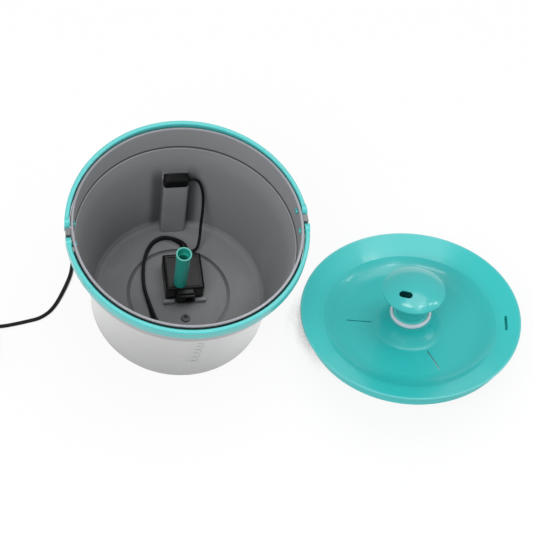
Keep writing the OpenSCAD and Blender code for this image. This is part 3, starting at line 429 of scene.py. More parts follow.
def rubber(name, tone, roughness=0.55, sheen=0.15):
    """Soft rubber or silicone: a matte bloom over fine grain, with lint."""
    finish = Finish(name)
    bloom = finish.clouds(90.0, 3.0)
    grain = finish.clouds(2200.0, 2.0)
    lint = finish.specks(520.0, 0.18)
    base = finish.shade(tone, bloom * 0.3 + 0.85)
    dusty = finish.mix(lint * 0.25 + bloom.rise(0.55, 0.8) * 0.06, base, (0.5, 0.5, 0.5, 1))
    return finish.surface(
        dusty, roughness + (bloom - 0.5) * 0.16, [(grain, 0.00005, 0.5)],
        **{"Sheen Weight": sheen, "Sheen Roughness": 0.4},
    )


def jacket(name, tone):
    """Extruded cord jacket: satin black with faint bands and rubbed spots."""
    finish = Finish(name)
    bands = finish.clouds(210.0, 2.0)
    grain = finish.clouds(2600.0, 2.0)
    rubbed = finish.clouds(34.0, 2.0).rise(0.5, 0.7)
    lint = finish.specks(600.0, 0.16)
    base = finish.shade(tone, bands * 0.5 + 0.75)
    dusty = finish.mix(lint * 0.2 + rubbed * 0.04, base, (0.4, 0.4, 0.42, 1))
    return finish.surface(
        dusty, 0.5 - rubbed * 0.1 + (bands - 0.5) * 0.12,
        [(grain, 0.00004, 0.5), (bands, 0.0001, 0.3)],
        **{"IOR": 1.5, "Specular IOR Level": 0.25},
    )


def metal(name, tone, roughness, brushed=(1, 1, 1)):
    """Plated or ground metal with fine lines and slight tarnish."""
    finish = Finish(name)
    lines = finish.clouds(2400.0, 2.0, finish.turned(scale=brushed, kind="POINT"))
    tarnish = finish.clouds(160.0, 3.0)
    dull = tuple(channel * 0.6 for channel in tone[:3]) + (1.0,)
    base = finish.mix(tarnish.rise(0.5, 0.75) * 0.5, finish.shade(tone, lines * 0.2 + 0.9), dull)
    return finish.surface(
        base, roughness + (lines - 0.5) * 0.16 + tarnish.rise(0.5, 0.8) * 0.15,
        [(lines, 0.00002, 0.5)], **{"Metallic": 1.0},
    )


def wall_radius(height):
    """Radius of the middle of the tank's wall at a height."""
    share = (height / LEDGE_Z).smaller(1.0).larger(0.0)
    taper = share ** FLARE * (LEDGE_R - FOOT_R) + (FOOT_R - TANK_WALL / 2)
    return taper + (height > LEDGE_Z + 0.0005) * COLLAR_STEP


def column_shades(x, y, z):
    """Where the column's front face catches light, and where the walls beside it lie in shade."""
    beside = abs(x - COLUMN_X)
    front = (beside < COLUMN_HALF_W) * (y > COLUMN_Y) * z.rise(0.042, 0.076) * (z < COLUMN_TOP)
    shelter = beside.rise(0.0113, 0.0123) * beside.rise(0.0175, 0.025, 1.0, 0.0) * (y > COLUMN_Y)
    return front, shelter * z.rise(0.066, 0.088, 1.0, 0.0) * z.rise(0.007, 0.011)


def level_scale(finish, place, radius, inside, sizes):
    """The line on the front wall, and the tinted strip and smudged foot beside it."""
    x, y, z = place
    across = (y.math("ARCTAN2", y, x) - MARK_AZIMUTH) * radius
    middle, half = (sizes.mark_low + sizes.mark_high) / 2, (sizes.mark_high - sizes.mark_low) / 2
    run = z.band(middle, half, 0.001)
    outside = 1 - inside
    line = across.band(0.0, 0.0005, 0.0005) * run * outside
    window = across.band(-0.006, 0.0056, 0.0016) * run * outside
    foot = across.band(-0.005, 0.0045, 0.001) * z.band(sizes.mark_low, 0.0012, 0.001)
    foot = foot * finish.clouds(420.0, 1.0).rise(0.45, 0.6) * outside
    return line, window, foot


def tank_plastic(colours, sizes):
    """The tank's satin plastic: silver outside, a graphite inside that is partly painted shade, a
    paler rim, and painted light and shade on the walls and collar.
    """
    finish = Finish("tank satin plastic")
    x, y, z = finish.axes(finish.place)
    radius = (x * x + y * y).root()
    depth = wall_radius(z) - radius
    ledge = z.band(LEDGE_Z + 0.0004, 0.0012, 0.0003) * (radius < LEDGE_IN_R + 0.0014)
    inside = (depth.rise(-0.0002, 0.0002) * (z > TANK_FLOOR_Z - 0.0013)).larger(ledge)
    rim_top = z.rise(RIM_Z - 0.0011, RIM_Z - 0.0006)
    # A pale line on the ledge's inner edge: a painted highlight
    ledge_highlight = z.band(LEDGE_Z, 0.0004, 0.0002) * radius.band(LEDGE_IN_R, 0.0003, 0.0002)

    # Parts of the wall that are lighter or darker than the rest, nearly all of them painted light and
    # shade
    # Painted shade on the floor, deeper towards the left and the front
    low = z.rise(0.0085, 0.0105, 1.0, 0.0) * inside
    side = x.rise(-0.05, 0.02, 1.7, 0.6) + y.rise(-0.03, 0.01, 0.6, 0.0)
    # Painted light on the upper inside wall and on the collar
    high = z.rise(0.078, 0.101) * inside
    collar = z.rise(LEDGE_Z + 0.0002, LEDGE_Z + 0.001) * inside
    # Painted shade in the corner above the ledge
    ledge_corner_shade = z.band(LEDGE_Z + 0.0005, 0.0011, 0.0005) * radius.rise(0.0967, 0.0971) * inside
    # Painted light on the right of the outside
    right = x.rise(0.015, 0.045) * (1 - inside)
    # Painted shade in the floor's groove, deepest on its far side
    groove = radius.band(GROOVE_R, 0.0013, 0.0007) * (z < TANK_FLOOR_Z + 0.0005)
    groove = groove * y.rise(-0.035, 0.02, 0.3, 1.0)
    # Painted shade in and round the small ring on the floor
    boss = finish.away_from(BOSS_AT).rise(BOSS_R - 0.0003, BOSS_R + 0.0003, 1.0, 0.0)
    front, shelter = column_shades(x, y, z)
    stop = (z > RIM_Z - 0.014) * (radius > RIM_R + 0.0003)
    # Painted shade in the gap between the rim and the handles
    gap = z.rise(0.1255, 0.1275) * (z < RIM_Z - 0.0009) * radius.band(RIM_R - 0.0001, 0.0004, 0.0001)
    # Painted shade on the back of the rim's top
    back_rim_shade = rim_top * y.rise(-0.02, 0.06)

    flow = finish.clouds(9.0, 2.0)
    grain = finish.clouds(1300.0, 3.0, roughness=0.6)
    scuffs = finish.hairlines(900.0, 0.5, 0.8) + finish.hairlines(1300.0, 0.35, 2.1)
    dust = finish.specks(380.0, 0.15)
    film = finish.clouds(26.0, 3.0).rise(0.52, 0.72) * inside * z.rise(0.02, 0.075, 1.0, 0.0)

    # The inside's darker tone is partly painted shade of the deep tank
    tone = finish.mix(inside, tuple(colours.tank_outside), tuple(colours.tank_inside))
    tone = finish.mix(rim_top, tone, tuple(colours.tank_rim))
    tone = finish.mix(ledge_highlight * 0.35, tone, (0.5, 0.5, 0.51, 1))
    cast = flow * 0.14 + 0.93
    for where, by in (
        (low * side, -0.2), (collar, 0.2), (high, 0.18), (front, 0.2), (ledge_corner_shade, -0.7),
        (boss, -0.6), (right, 0.2), (groove, -0.6), (shelter, -0.58), (stop, -0.62),
        (gap, -0.85), (back_rim_shade, -0.25),
    ):
        cast = cast * (1 + where * by)
    shaded = finish.shade(tone, cast)
    marked = finish.mix(scuffs * 0.08 + dust * 0.12 + film * 0.07, shaded, (0.7, 0.71, 0.71, 1))
    line, window, foot = level_scale(finish, (x, y, z), radius, inside, sizes)
    marked = finish.mix(line * 0.55 + window * 0.16 + foot * 0.45, marked, (0.16, 0.16, 0.17, 1))
    rough = inside * 0.16 + 0.34 + (flow - 0.5) * 0.12 + scuffs * 0.12 + dust * 0.2 + film * 0.15
    return finish.surface(
        marked, rough,
        [(finish.clouds(45.0, 1.0), 0.0008, 0.3), (grain, 0.00009, 0.4), (line, 0.0002, -0.6)],
        **{"IOR": 1.5, "Coat Weight": (1 - inside) * 0.8, "Coat Roughness": 0.15},
    )


def tray_plastic(tone):
    """Glossy teal tray: painted highlights on rim and crease, painted light on flange, painted shade
    on skirt.
    """
    turn = TRAY_UP.to_track_quat("Z", "Y").to_euler()

    def round_the_hub(finish):
        x, y, z = finish.axes(finish.turned(location=TRAY_MID, rotation=turn))
        return (x * x + y * y).root(), z

    def rim(finish):
        radius, z = round_the_hub(finish)
        # Painted highlights: a pale line round the outer rim, and pale patches along the crease
        crease = radius.band(CREASE_R, 0.0003, 0.0009) * z.rise(-0.0115, -0.009)
        highlight_patches = finish.clouds(24.0, 1.0).rise(0.46, 0.64)
        return radius.rise(0.0985, 0.0998) * z.rise(-0.004, -0.001) * 0.7 + crease * highlight_patches * 0.2

    def lift(finish):
        radius, z = round_the_hub(finish)
        # Painted light on the flange and painted shade on the skirt
        flange = radius.rise(0.07, 0.088)
        skirt = radius.rise(0.0962, 0.0966) * z.rise(-0.0035, -0.0025, 1.0, 0.0)
        return 1 + flange * 0.19 - skirt * 0.36

    return gloss_plastic("tray plastic", tone, 0.3, 0.35, 0.9, rim, lift, 0.07)


def studio_paper(tone):
    """White where it is seen or mirrored, painted shade close under a piece, and plain card to the
    light.
    """
    finish = Finish("studio floor")
    seen, glossy, through = finish.node(
        "ShaderNodeLightPath", out=("Is Camera Ray", "Is Glossy Ray", "Is Transmission Ray"))
    open_sky = finish.node(
        "ShaderNodeAmbientOcclusion", {"samples": 16}, {"Distance": SHADE_REACH}, out="AO")
    lit = open_sky.rise(0.13, 0.25, SHADE_LEFT, 1.0)
    card_tone = tuple(channel * CARD_SHARE for channel in tone[:3]) + (1.0,)
    card = finish.node("ShaderNodeBsdfDiffuse", {}, {"Color": card_tone})
    paper = finish.node("ShaderNodeBsdfDiffuse", {}, {"Color": tone})
    glow = finish.node("ShaderNodeEmission", {}, {"Color": (1, 1, 1, 1)})
    white = finish.node("ShaderNodeMixShader", {}, {0: GLOW_SHARE, 1: paper, 2: glow})
    shaded = finish.node("ShaderNodeMixShader", {}, {0: lit, 2: white})
    shown = seen.larger(glossy.larger(through))
    mixed = finish.node("ShaderNodeMixShader", {}, {0: shown, 1: card, 2: shaded})
    finish.node("ShaderNodeOutputMaterial", {}, {"Surface": mixed})
    return finish.material


def dress(material, *nodes):
    """Give a finish to nodes of the frame."""
    for name in nodes:
        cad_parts[name].material_slots[0].material = material


def spline(points, step):
    """Points about a step apart on a smooth curve through the given ones, in metres."""
    points = [Vector(point) * MM for point in points]
    ends = [2 * points[0] - points[1], *points, 2 * points[-1] - points[-2]]
    line = []
    for before, start, stop, after in zip(ends, ends[1:], ends[2:], ends[3:]):
        count = max(2, round((stop - start).length / step))
        for i in range(count):
            t = i / count
            line.append(0.5 * (
                2 * start + (stop - before) * t
                + (2 * before - 5 * start + 4 * stop - after) * t * t
                + (3 * start - before - 3 * stop + after) * t ** 3))
    return [*line, points[-1]]


def coil_turns():
    """The coil's cord in millimetres: in along the bottom layer, up, and back out to the top.

    It lies in one cell of COIL_CELLS for each turn, and steps to the next over a short way. At
    its end it leans out over the coil's side and comes down to the plug's height. Turns are in
    degrees.
    """
    between_points, first_step, step_turn, turn, last_turn = 6, 318, 40, 320, 382
    lean_turn, drop_turn, lean_out, lean_drop, last_drop = 40, 60, 3.6, 3.5, 2.25
    end = first_step + turn * (len(COIL_CELLS) - 2) + step_turn + last_turn
    lean_from = end - 105
    points = []
    for angle in range(between_points, end + 1, between_points):
        index = max(0, min(len(COIL_CELLS) - 2, (angle - first_step) // turn))
        share = max(0.0, min(1.0, (angle - first_step - turn * index) / step_turn))
        share = share * share * (3 - 2 * share)
        here, then = COIL_CELLS[index], COIL_CELLS[index + 1]
        radius = COIL_RADII[here[0]] * (1 - share) + COIL_RADII[then[0]] * share
        height = COIL_LAYERS[here[1]] * (1 - share) + COIL_LAYERS[then[1]] * share
        over = angle - lean_from
        if over > 0:
            lean = math.radians(min(90.0, over * 90 / lean_turn))
            radius += lean_out * math.sin(lean)
            height -= lean_drop * (1 - math.cos(lean))
            height -= last_drop * max(0.0, min(1.0, (over - lean_turn) / drop_turn))
        azimuth = math.radians(90 + angle)
        points.append((
            COIL_MID[0] + radius * math.cos(azimuth), COIL_MID[1] + radius * math.sin(azimuth),
            height))
    return points


def pipe_tree():
    """A geometry tree that lays a round, closed cord along the object's own line."""
    group = bpy.data.node_groups.new("Cord along its line", "GeometryNodeTree")
    sockets = group.interface.new_socket
    sockets("Line", in_out="INPUT", socket_type="NodeSocketGeometry")
    sockets("Radius", in_out="INPUT", socket_type="NodeSocketFloat").default_value = 1.75 * MM
    sockets("Sides", in_out="INPUT", socket_type="NodeSocketInt").default_value = CORD_SIDES
    sockets("Jacket", in_out="INPUT", socket_type="NodeSocketMaterial")
    sockets("Cord", in_out="OUTPUT", socket_type="NodeSocketGeometry")
    tree = Tree(group)
    line, radius, sides, jacket_plastic = tree.node(
        "NodeGroupInput", out=("Line", "Radius", "Sides", "Jacket"))
    path = tree.node("GeometryNodeMeshToCurve", {}, {"Mesh": line})
    section = tree.node(
        "GeometryNodeCurvePrimitiveCircle", {"mode": "RADIUS"},
        {"Resolution": sides, "Radius": radius})
    tube = tree.node(
        "GeometryNodeCurveToMesh", {},
        {"Curve": path, "Profile Curve": section, "Fill Caps": True})
    tube = tree.node("GeometryNodeSetShadeSmooth", {}, {"Geometry": tube})
    tube = tree.node("GeometryNodeRealizeInstances", {}, {"Geometry": tube})
    tube = tree.node(
        "GeometryNodeSetMaterial", {}, {"Geometry": tube, "Material": jacket_plastic})
    tree.node("NodeGroupOutput", {}, {"Cord": tube})
    return group


def rib_tree():
    """A geometry tree that sets a rounded rib on each of the object's points, turned as they say."""
    group = bpy.data.node_groups.new("Ribs on points", "GeometryNodeTree")
    sockets = group.interface.new_socket
    sockets("Points", in_out="INPUT", socket_type="NodeSocketGeometry")
    sockets("Size", in_out="INPUT", socket_type="NodeSocketVector")
    sockets("Plastic", in_out="INPUT", socket_type="NodeSocketMaterial")
    sockets("Ribs", in_out="OUTPUT", socket_type="NodeSocketGeometry")
    tree = Tree(group)
    points, size, plastic = tree.node("NodeGroupInput", out=("Points", "Size", "Plastic"))
    rod = tree.node("GeometryNodeMeshCylinder", {}, {"Vertices": 16, "Radius": 0.5, "Depth": 1.0})
    turn = tree.node(
        "GeometryNodeInputNamedAttribute", {"data_type": "FLOAT_VECTOR"}, {"Name": "turn"})
    turn = tree.node("FunctionNodeEulerToRotation", {}, {"Euler": turn})
    ribs = tree.node(
        "GeometryNodeInstanceOnPoints", {},
        {"Points": points, "Instance": rod, "Rotation": turn, "Scale": size})
    ribs = tree.node("GeometryNodeRealizeInstances", {}, {"Geometry": ribs})
    ribs = tree.node("GeometryNodeSetMaterial", {}, {"Geometry": ribs, "Material": plastic})
    tree.node("NodeGroupOutput", {}, {"Ribs": ribs})
    return group


def grown(name, points, group, inputs, joined=False, turns=None):
    """A mesh object that a geometry tree makes from points, kept as a plain mesh."""
    mesh = bpy.data.meshes.new(name)
    edges = [(i, i + 1) for i in range(len(points) - 1)] if joined else []
    mesh.from_pydata([tuple(point) for point in points], edges, [])
    if turns:
        attribute = mesh.attributes.new("turn", "FLOAT_VECTOR", "POINT")
        attribute.data.foreach_set("vector", [part for turn in turns for part in turn])
    piece = bpy.data.objects.new(name, mesh)
    bpy.context.scene.collection.objects.link(piece)
    modifier = piece.modifiers.new("Form", "NODES")
    modifier.node_group = group
    for item in group.interface.items_tree:
        if item.in_out == "INPUT" and item.name in inputs:
            modifier[item.identifier] = inputs[item.name]
    graph = bpy.context.evaluated_depsgraph_get()
    made = bpy.data.meshes.new_from_object(piece.evaluated_get(graph), depsgraph=graph)
    piece.modifiers.remove(modifier)
    piece.data = made
    made.name = name
    if not made.polygons:
        raise RuntimeError(f"{name} came out empty")
    return piece


def solid(name, rings, place, material, closed=True):
    """A closed mesh over rows of points: each row is a loop, and so is the row of rows if closed."""
    work = bmesh.new()
    rows = [[work.verts.new(place @ Vector(point)) for point in ring] for ring in rings]
    turns = len(rows) if closed else len(rows) - 1
    for i in range(turns):
        here, then = rows[i], rows[(i + 1) % len(rows)]
        for j in range(len(here)):
            k = (j + 1) % len(here)
            work.faces.new((here[j], here[k], then[k], then[j]))
    if not closed:
        work.faces.new(rows[0])
        work.faces.new(rows[-1])
    bmesh.ops.recalc_face_normals(work, faces=work.faces)
    mesh = bpy.data.meshes.new(name)
    work.to_mesh(mesh)
    work.free()
    mesh.polygons.foreach_set("use_smooth", [True] * len(mesh.polygons))
    mesh.set_sharp_from_angle(angle=math.radians(38))
    mesh.materials.append(material)
    piece = bpy.data.objects.new(name, mesh)
    bpy.context.scene.collection.objects.link(piece)
    return piece


def turned(name, profile, place, material, start=0.0, stop=360.0, steps=144):
    """A lathe-turned piece, or an arc of one, from (radius, height) points in millimetres."""
    whole = stop - start >= 360
    count = steps if whole else steps + 1
    rings = []
    for i in range(count):
        angle = math.radians(start + (stop - start) * i / steps)
        rings.append([
            (radius * MM * math.cos(angle), radius * MM * math.sin(angle), height * MM)
            for radius, height in profile])
    return solid(name, rings, place, material, closed=whole)


def curve(start, bend, stop, steps):
    """Points on the curve that leaves start towards bend and reaches stop from it."""
    points = []
    for i in range(steps + 1):
        t = i / steps
        points.append(tuple(
            a * (1 - t) ** 2 + 2 * b * t * (1 - t) + c * t * t
            for a, b, c in zip(start, bend, stop)))
    return points


def rounded(low, high, radius, steps=4):
    """A rectangle with round corners, as (radius, height) points."""
    corners = (
        (high[0] - radius, high[1] - radius, 0), (low[0] + radius, high[1] - radius, 90),
        (low[0] + radius, low[1] + radius, 180), (high[0] - radius, low[1] + radius, 270))
    points = []
    for x, y, first in corners:
        for i in range(steps + 1):
            angle = math.radians(first + 90 * i / steps)
            points.append((x + radius * math.cos(angle), y + radius * math.sin(angle)))
    return points


def round_table(material):
    """The wide round floor, just below the feet: a fan of faces and a ring round it."""
    points = [(TABLE_X, 0.0, TABLE_Z)]
    for radius in TABLE_RADII:
        for i in range(TABLE_SIDES):
            angle = math.tau * i / TABLE_SIDES
            points.append((TABLE_X + radius * math.cos(angle), radius * math.sin(angle), TABLE_Z))
    faces = []
    for i in range(TABLE_SIDES):
        here, then = 1 + i, 1 + (i + 1) % TABLE_SIDES
        faces += [(0, here, then), (here, here + TABLE_SIDES, then + TABLE_SIDES, then)]
    mesh = bpy.data.meshes.new("floor")
    mesh.from_pydata(points, [], faces)
    mesh.materials.append(material)
    floor = bpy.data.objects.new("floor", mesh)
    bpy.context.scene.collection.objects.link(floor)
    return floor


def studio_world():
    """Soft, slightly cool light from all round, and plain white where the world is seen."""
    world = bpy.data.worlds.new("studio")
    world.use_nodes = True
    sky = Tree(world.node_tree)
    sky.tree.nodes.clear()
    seen = sky.node("ShaderNodeLightPath", out="Is Camera Ray")
    soft = sky.node(
        "ShaderNodeBackground", {}, {"Color": (0.97, 0.985, 1, 1), "Strength": SKY_STRENGTH})
    white = sky.node("ShaderNodeBackground", {}, {"Color": (1, 1, 1, 1), "Strength": 1.0})
    mixed = sky.node("ShaderNodeMixShader", {}, {0: seen, 1: soft, 2: white})
    sky.node("ShaderNodeOutputWorld", {}, {"Surface": mixed})
    return world


def soft_lamp(name, place, aim, size, power):
    """A rectangular soft light that faces its aim."""
    light = bpy.data.lights.new(name, "AREA")
    light.shape = "RECTANGLE"
    light.size, light.size_y = size
    light.energy = power
    holder = bpy.data.objects.new(name, light)
    place, aim = Vector(place), Vector(aim)
    turn = (aim - place).to_track_quat("-Z", "Y")
    holder.matrix_world = Matrix.Translation(place) @ turn.to_matrix().to_4x4()
    bpy.context.scene.collection.objects.link(holder)
    return holder


def level_marks(sizes):
    """The ticks on the tank's front wall, each lying on the wall's slope."""
    ink = satin_black("level mark ink", (0.22, 0.22, 0.23, 1.0), 0.5)
    points, turns = [], []
    gap = (sizes.mark_high - sizes.mark_low) / (sizes.mark_count - 1)
    for i in range(sizes.mark_count):
        height = sizes.mark_low + gap * i
        share = height / LEDGE_Z
        radius = FOOT_R + (LEDGE_R - FOOT_R) * share ** FLARE
        slope = math.atan((LEDGE_R - FOOT_R) * FLARE * share ** (FLARE - 1) / LEDGE_Z)
        azimuth = MARK_AZIMUTH - sizes.mark_w * 0.85 / radius
        outward = Vector((math.cos(azimuth), math.sin(azimuth), 0))
        points.append(outward * radius + Vector((0, 0, height)))
        turns.append((math.pi / 2, slope, azimuth))
    return grown(
        "level_marks", points, rib_tree(),
        {"Size": (0.0003, 0.0008, sizes.mark_w), "Plastic": ink}, turns=turns)


def gap_shade_strip(name, start, soft):
    """Half a turn of soft dark strip in the gap round the rim, put there as painted shade for that
    gap.
    """
    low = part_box("front_handle")[0].z / MM
    section = rounded((99.6, low + 0.4), (100.95, low + 3.4), 0.4, 2)
    return turned(name, section, Matrix(), soft, start, start + 162, 120)


def slot_loop(half_w, half_l, level=None):
    """A round-ended loop at the tray's finger slot: on the flange's slope, or at one level."""
    across = Matrix.Rotation(SLOT_AZIMUTH, 4, "Z")
    points = []
    for i in range(32):
        angle = math.tau * (i + 0.5) / 32
        x = SLOT_R + half_w * math.cos(angle)
        y = half_w * math.sin(angle) + math.copysign(half_l - half_w, math.sin(angle))
        on_flange = FLANGE_Z - (FLANGE_R - x) * FLANGE_SLOPE
        points.append(across @ (Vector((x, y, on_flange if level is None else level)) * MM))
    return points


def finger_pocket(material):
    """The blind lining of the finger slot, from its floor up to the flange and down outside."""
    return solid(
        "finger_pocket",
        [slot_loop(0.7, 8.55, -11.9), slot_loop(1.2, 9.05, -11.4), slot_loop(1.2, 9.05),
         slot_loop(2.0, 9.85), slot_loop(2.0, 9.85, -12.4), slot_loop(1.6, 9.45, -12.8)],
        TRAY_PLACE, material, closed=False)


def hub_fillet(material):
    """The thin concave blend where the hub's foot meets the bowl."""
    section = [
        *curve((25.06, -13.42), (29.2, -18.03), (34.1, -18.03), 14),
        (34.0, -18.4), (29.4, -18.8), (27.2, -17.2), (24.8, -13.9)]
    return turned("hub_fillet", section, TRAY_PLACE, material)


class FOUNTAIN_OT_camera(bpy.types.Operator):
    """Place the camera above the front of the tank"""
    bl_idname = "fountain.camera"
    bl_label = "Camera"
    bl_options = {"REGISTER", "UNDO"}

    def execute(self, context):
        lens = bpy.data.cameras.new("camera")
        lens.sensor_width = 36.0
        lens.lens = LENS
        lens.clip_start, lens.clip_end = 0.05, 60.0
        camera = bpy.data.objects.new("camera", lens)
        turn = Matrix((CAMERA_RIGHT, CAMERA_UP, CAMERA_BACK)).transposed().to_4x4()
        camera.matrix_world = Matrix.Translation(CAMERA_AT) @ turn
        context.scene.collection.objects.link(camera)
        context.scene.camera = camera
        return {"FINISHED"}


class FOUNTAIN_OT_power_cord(bpy.types.Operator):
    """Lay the power cord from its strain relief round the tank to its coil and plug"""
    bl_idname = "fountain.power_cord"
    bl_label = "Power cord"
    bl_options = {"REGISTER", "UNDO"}

    def execute(self, context):
        colours, sizes = context.scene.fountain_colours, context.scene.fountain_sizes
        line = spline([*CORD_ROUTE, *coil_turns(), *PLUG_TAIL], 0.0022)
        black = jacket("cord jacket", tuple(colours.jacket))
        cord = grown(
            "power_cord_jacket", line, pipe_tree(),
            {"Radius": sizes.cord_d / 2, "Sides": CORD_SIDES, "Jacket": black}, joined=True)
        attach(cord, "tank_body")
        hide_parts("power_cord", "cord_coil")
        inner = grown(
            "inner_cord", spline(INNER_ROUTE, 0.0015), pipe_tree(),
            {"Radius": sizes.cord_d / 2, "Sides": CORD_SIDES, "Jacket": black}, joined=True)
        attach(inner, "tank_body")
        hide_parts("inner_lead")
        return {"FINISHED"}


class FOUNTAIN_OT_pump_lead(bpy.types.Operator):
    """Lay the pump's lead round the tank's floor and up to its connector"""
    bl_idname = "fountain.pump_lead"
    bl_label = "Pump lead"
    bl_options = {"REGISTER", "UNDO"}

    def execute(self, context):
        colours, sizes = context.scene.fountain_colours, context.scene.fountain_sizes
        line = spline(LEAD_ROUTE, 0.002)
        black = jacket("lead jacket", tuple(colours.jacket))
        lead = grown(
            "pump_lead_jacket", line, pipe_tree(),
            {"Radius": sizes.lead_d / 2, "Sides": CORD_SIDES, "Jacket": black}, joined=True)
        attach(lead, "pump")
        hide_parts("pump_lead")
        return {"FINISHED"}


class FOUNTAIN_OT_stage(bpy.types.Operator):
    """Lay the pale floor and hang the soft studio lights"""
    bl_idname = "fountain.stage"
    bl_label = "Stage"
    bl_options = {"REGISTER", "UNDO"}

    def execute(self, context):
        scene = context.scene
        scene.view_settings.view_transform = "Standard"
        round_table(studio_paper(tuple(scene.fountain_colours.floor)))
        scene.world = studio_world()
        lamps = {row[0]: soft_lamp(*row) for row in LAMPS}
        # Mirrored in the glossy plastics, the key light would be a hard white patch
        lamps["key"].visible_glossy = False
        return {"FINISHED"}


class FOUNTAIN_OT_tank(bpy.types.Operator):
    """Finish the tank and set the level marks on its front wall"""
    bl_idname = "fountain.tank"
    bl_label = "Tank"
    bl_options = {"REGISTER", "UNDO"}

    def execute(self, context):
        colours, sizes = context.scene.fountain_colours, context.scene.fountain_sizes
        dress(tank_plastic(colours, sizes), "tank")
        marks = level_marks(sizes)
        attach(marks, "tank_body")
        # Dark strips in the gap between the rim and the handles, as painted shade
        soft = rubber("gap shade strip rubber", tuple(colours.strip), 0.6)
        for name, start in (("rear_gap_shade_strip", 9), ("front_gap_shade_strip", 189)):
            strip = gap_shade_strip(name, start, soft)
            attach(strip, "tank_body")
        return {"FINISHED"}


class FOUNTAIN_OT_handles(bpy.types.Operator):
    """Finish the two halves of the swing-up handle"""
    bl_idname = "fountain.handles"
    bl_label = "Handles"
    bl_options = {"REGISTER", "UNDO"}

    def execute(self, context):
        tone = tuple(context.scene.fountain_colours.handle)
        dress(gloss_plastic("handle plastic", tone, 0.3, 0.3, 0.4), "rear_handle", "front_handle")
        return {"FINISHED"}


class FOUNTAIN_OT_socket(bpy.types.Operator):
    """Finish the socket on the column and the gland behind the tank"""
    bl_idname = "fountain.socket"
    bl_label = "Socket and gland"
    bl_options = {"REGISTER", "UNDO"}

    def execute(self, context):
        colours = context.scene.fountain_colours
        dress(satin_black("socket plastic", tuple(colours.black_plastic), 0.45), "column_socket")
        dress(rubber("seal rubber", tuple(colours.seal)), "socket_seal",
              *(f"suction_foot_{i}" for i in (1, 2, 3, 4)))
        dress(metal("contact brass", tuple(colours.brass), 0.28, (1, 1, 0.1)),
              "socket_pins", "connector_contacts")
        dress(rubber("gland rubber", tuple(colours.soft_black), 0.5), "cord_gland", "lead_grommet")
        return {"FINISHED"}


class FOUNTAIN_OT_plug(bpy.types.Operator):
    """Finish the plug and its ribbed grip, and the tie round the coil"""
    bl_idname = "fountain.plug"
    bl_label = "Plug and tie"
    bl_options = {"REGISTER", "UNDO"}

    def execute(self, context):
        colours, sizes = context.scene.fountain_colours, context.scene.fountain_sizes
        soft = rubber("grip rubber", tuple(colours.soft_black), 0.48)
        dress(soft, "usb_grip")
        dress(rubber("tie strap", tuple(colours.seal), 0.7, 0.4), "cord_tie")
        dress(metal("plug shell steel", tuple(colours.steel), 0.22, (0.1, 1, 0.1)), "usb_shell")
        low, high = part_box("usb_grip")
        middle, first_rib, sunk = (low.x + high.x) / 2, low.y + 0.0165, 0.00025
        points = [
            (middle, first_rib + i * sizes.grip_pitch, height)
            for i in range(sizes.grip_ribs) for height in (low.z + sunk, high.z - sunk)]
        ribs = grown(
            "grip_ribs", points, rib_tree(),
            {"Size": (0.0005, 0.0009, 0.0098), "Plastic": soft},
            turns=[(0, math.pi / 2, 0)] * len(points))
        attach(ribs, "tank_body")
        return {"FINISHED"}


class FOUNTAIN_OT_pump(bpy.types.Operator):
    """Finish the pump, its inlet cover, regulator, rotor and connector"""
    bl_idname = "fountain.pump"
    bl_label = "Pump"
    bl_options = {"REGISTER", "UNDO"}

    def execute(self, context):
        colours = context.scene.fountain_colours
        dress(satin_black("pump plastic", tuple(colours.pump), 0.36, 0.05, 0.35),
              "pump_body", "inlet_cover")
        dress(satin_black("connector plastic", tuple(colours.pump), 0.55, 0.0, 0.2), "connector")
        dress(satin_black("regulator plastic", tuple(colours.black_plastic), 0.45),
              "flow_regulator")
        dress(gloss_plastic("bush plastic", tuple(colours.bush), 0.35, 0.1),
              "rear_bush", "front_bush", "impeller")
        dress(metal("shaft steel", tuple(colours.steel), 0.2, (0.1, 1, 0.1)), "impeller_shaft")
        dress(satin_black("ferrite magnet", tuple(colours.magnet), 0.4), "rotor_magnet")
        return {"FINISHED"}


class FOUNTAIN_OT_riser(bpy.types.Operator):
    """Finish the telescopic riser tube"""
    bl_idname = "fountain.riser"
    bl_label = "Riser tube"
    bl_options = {"REGISTER", "UNDO"}

    def execute(self, context):
        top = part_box("riser_tube")[1].z

        # A painted highlight round the tube's top edge
        def lip_highlight(finish):
            return finish.axes(finish.place)[2].rise(top - 0.0008, top - 0.0002) * 1.2

        tone = tuple(context.scene.fountain_colours.riser)
        dress(gloss_plastic("riser plastic", tone, 0.36, 0.15, rim=lip_highlight), "riser_tube")
        return {"FINISHED"}


class FOUNTAIN_OT_tray(bpy.types.Operator):
    """Finish the drinking tray and the white ring round its hub"""
    bl_idname = "fountain.tray"
    bl_label = "Drinking tray"
    bl_options = {"REGISTER", "UNDO"}

    def execute(self, context):
        colours = context.scene.fountain_colours
        teal = tray_plastic(tuple(colours.tray))
        dress(teal, "tray")
        for trim in (hub_fillet(teal), finger_pocket(teal)):
            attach(trim, "tray")
        ring = turned(
            "hub_seal", rounded((16.1, -2.5), (18.8, 1.6), 1.1), TRAY_PLACE,
            rubber("ring silicone", tuple(colours.ring), 0.42, 0.1))
        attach(ring, "tray")
        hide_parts("seal_ring")
        return {"FINISHED"}


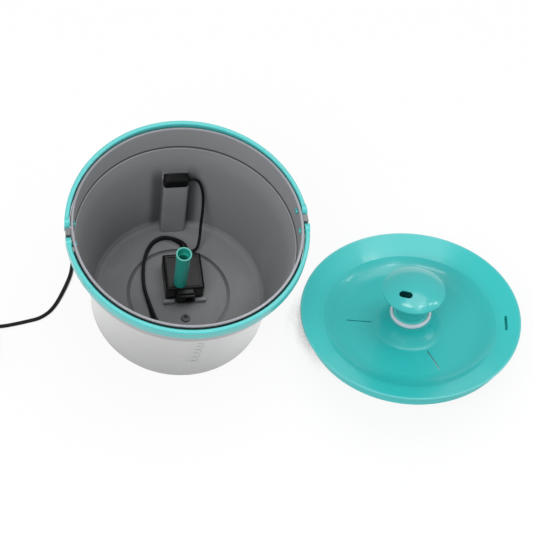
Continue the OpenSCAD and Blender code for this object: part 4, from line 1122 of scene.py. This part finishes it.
class FOUNTAIN_OT_spout(bpy.types.Operator):
    """Finish the spout and its domed cap"""
    bl_idname = "fountain.spout"
    bl_label = "Spout"
    bl_options = {"REGISTER", "UNDO"}

    def execute(self, context):
        tone = tuple(context.scene.fountain_colours.spout)
        teal = gloss_plastic("spout plastic", tone, 0.17, 0.35, 2.0, shine=0.05)
        dress(teal, "spout_stem", "spout_cap")
        # The neck's tone is painted lighter than the spout's, as painted light under the cap
        pale = tuple(context.scene.fountain_colours.neck)
        trim = gloss_plastic("neck plastic", pale, 0.17, 0.35, 1.1, shine=0.05)
        section = rounded((12.7, -2.45), (15.9, 0.9), 0.5)
        collar = turned("neck_collar", section, TRAY_PLACE, trim)
        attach(collar, "spout")
        return {"FINISHED"}


class FOUNTAIN_PT_panel(bpy.types.Panel):
    """Lists the fountain's pieces, sizes and colours"""
    bl_idname = "FOUNTAIN_PT_panel"
    bl_label = "Pet water fountain"
    bl_space_type = "VIEW_3D"
    bl_region_type = "UI"
    bl_category = "Fountain"

    def draw(self, context):
        for operator in OPERATORS:
            self.layout.operator(operator.bl_idname)
        for group in (context.scene.fountain_sizes, context.scene.fountain_colours):
            box = self.layout.box()
            for name in group.__annotations__:
                box.prop(group, name)


OPERATORS = (
    FOUNTAIN_OT_camera, FOUNTAIN_OT_power_cord, FOUNTAIN_OT_pump_lead, FOUNTAIN_OT_stage,
    FOUNTAIN_OT_tank, FOUNTAIN_OT_handles, FOUNTAIN_OT_socket, FOUNTAIN_OT_plug, FOUNTAIN_OT_pump,
    FOUNTAIN_OT_riser, FOUNTAIN_OT_tray, FOUNTAIN_OT_spout,
)
CLASSES = (FountainColours, FountainSizes, *OPERATORS, FOUNTAIN_PT_panel)


def register():
    for each in CLASSES:
        bpy.utils.register_class(each)
    bpy.types.Scene.fountain_colours = PointerProperty(type=FountainColours)
    bpy.types.Scene.fountain_sizes = PointerProperty(type=FountainSizes)


def unregister():
    del bpy.types.Scene.fountain_sizes
    del bpy.types.Scene.fountain_colours
    for each in reversed(CLASSES):
        bpy.utils.unregister_class(each)


def main():
    register()
    for make in (
        bpy.ops.fountain.camera, bpy.ops.fountain.power_cord, bpy.ops.fountain.pump_lead,
        bpy.ops.fountain.stage, bpy.ops.fountain.tank, bpy.ops.fountain.handles,
        bpy.ops.fountain.socket, bpy.ops.fountain.plug, bpy.ops.fountain.pump,
        bpy.ops.fountain.riser, bpy.ops.fountain.tray, bpy.ops.fountain.spout,
    ):
        make()


if __name__ == "__main__":
    main()
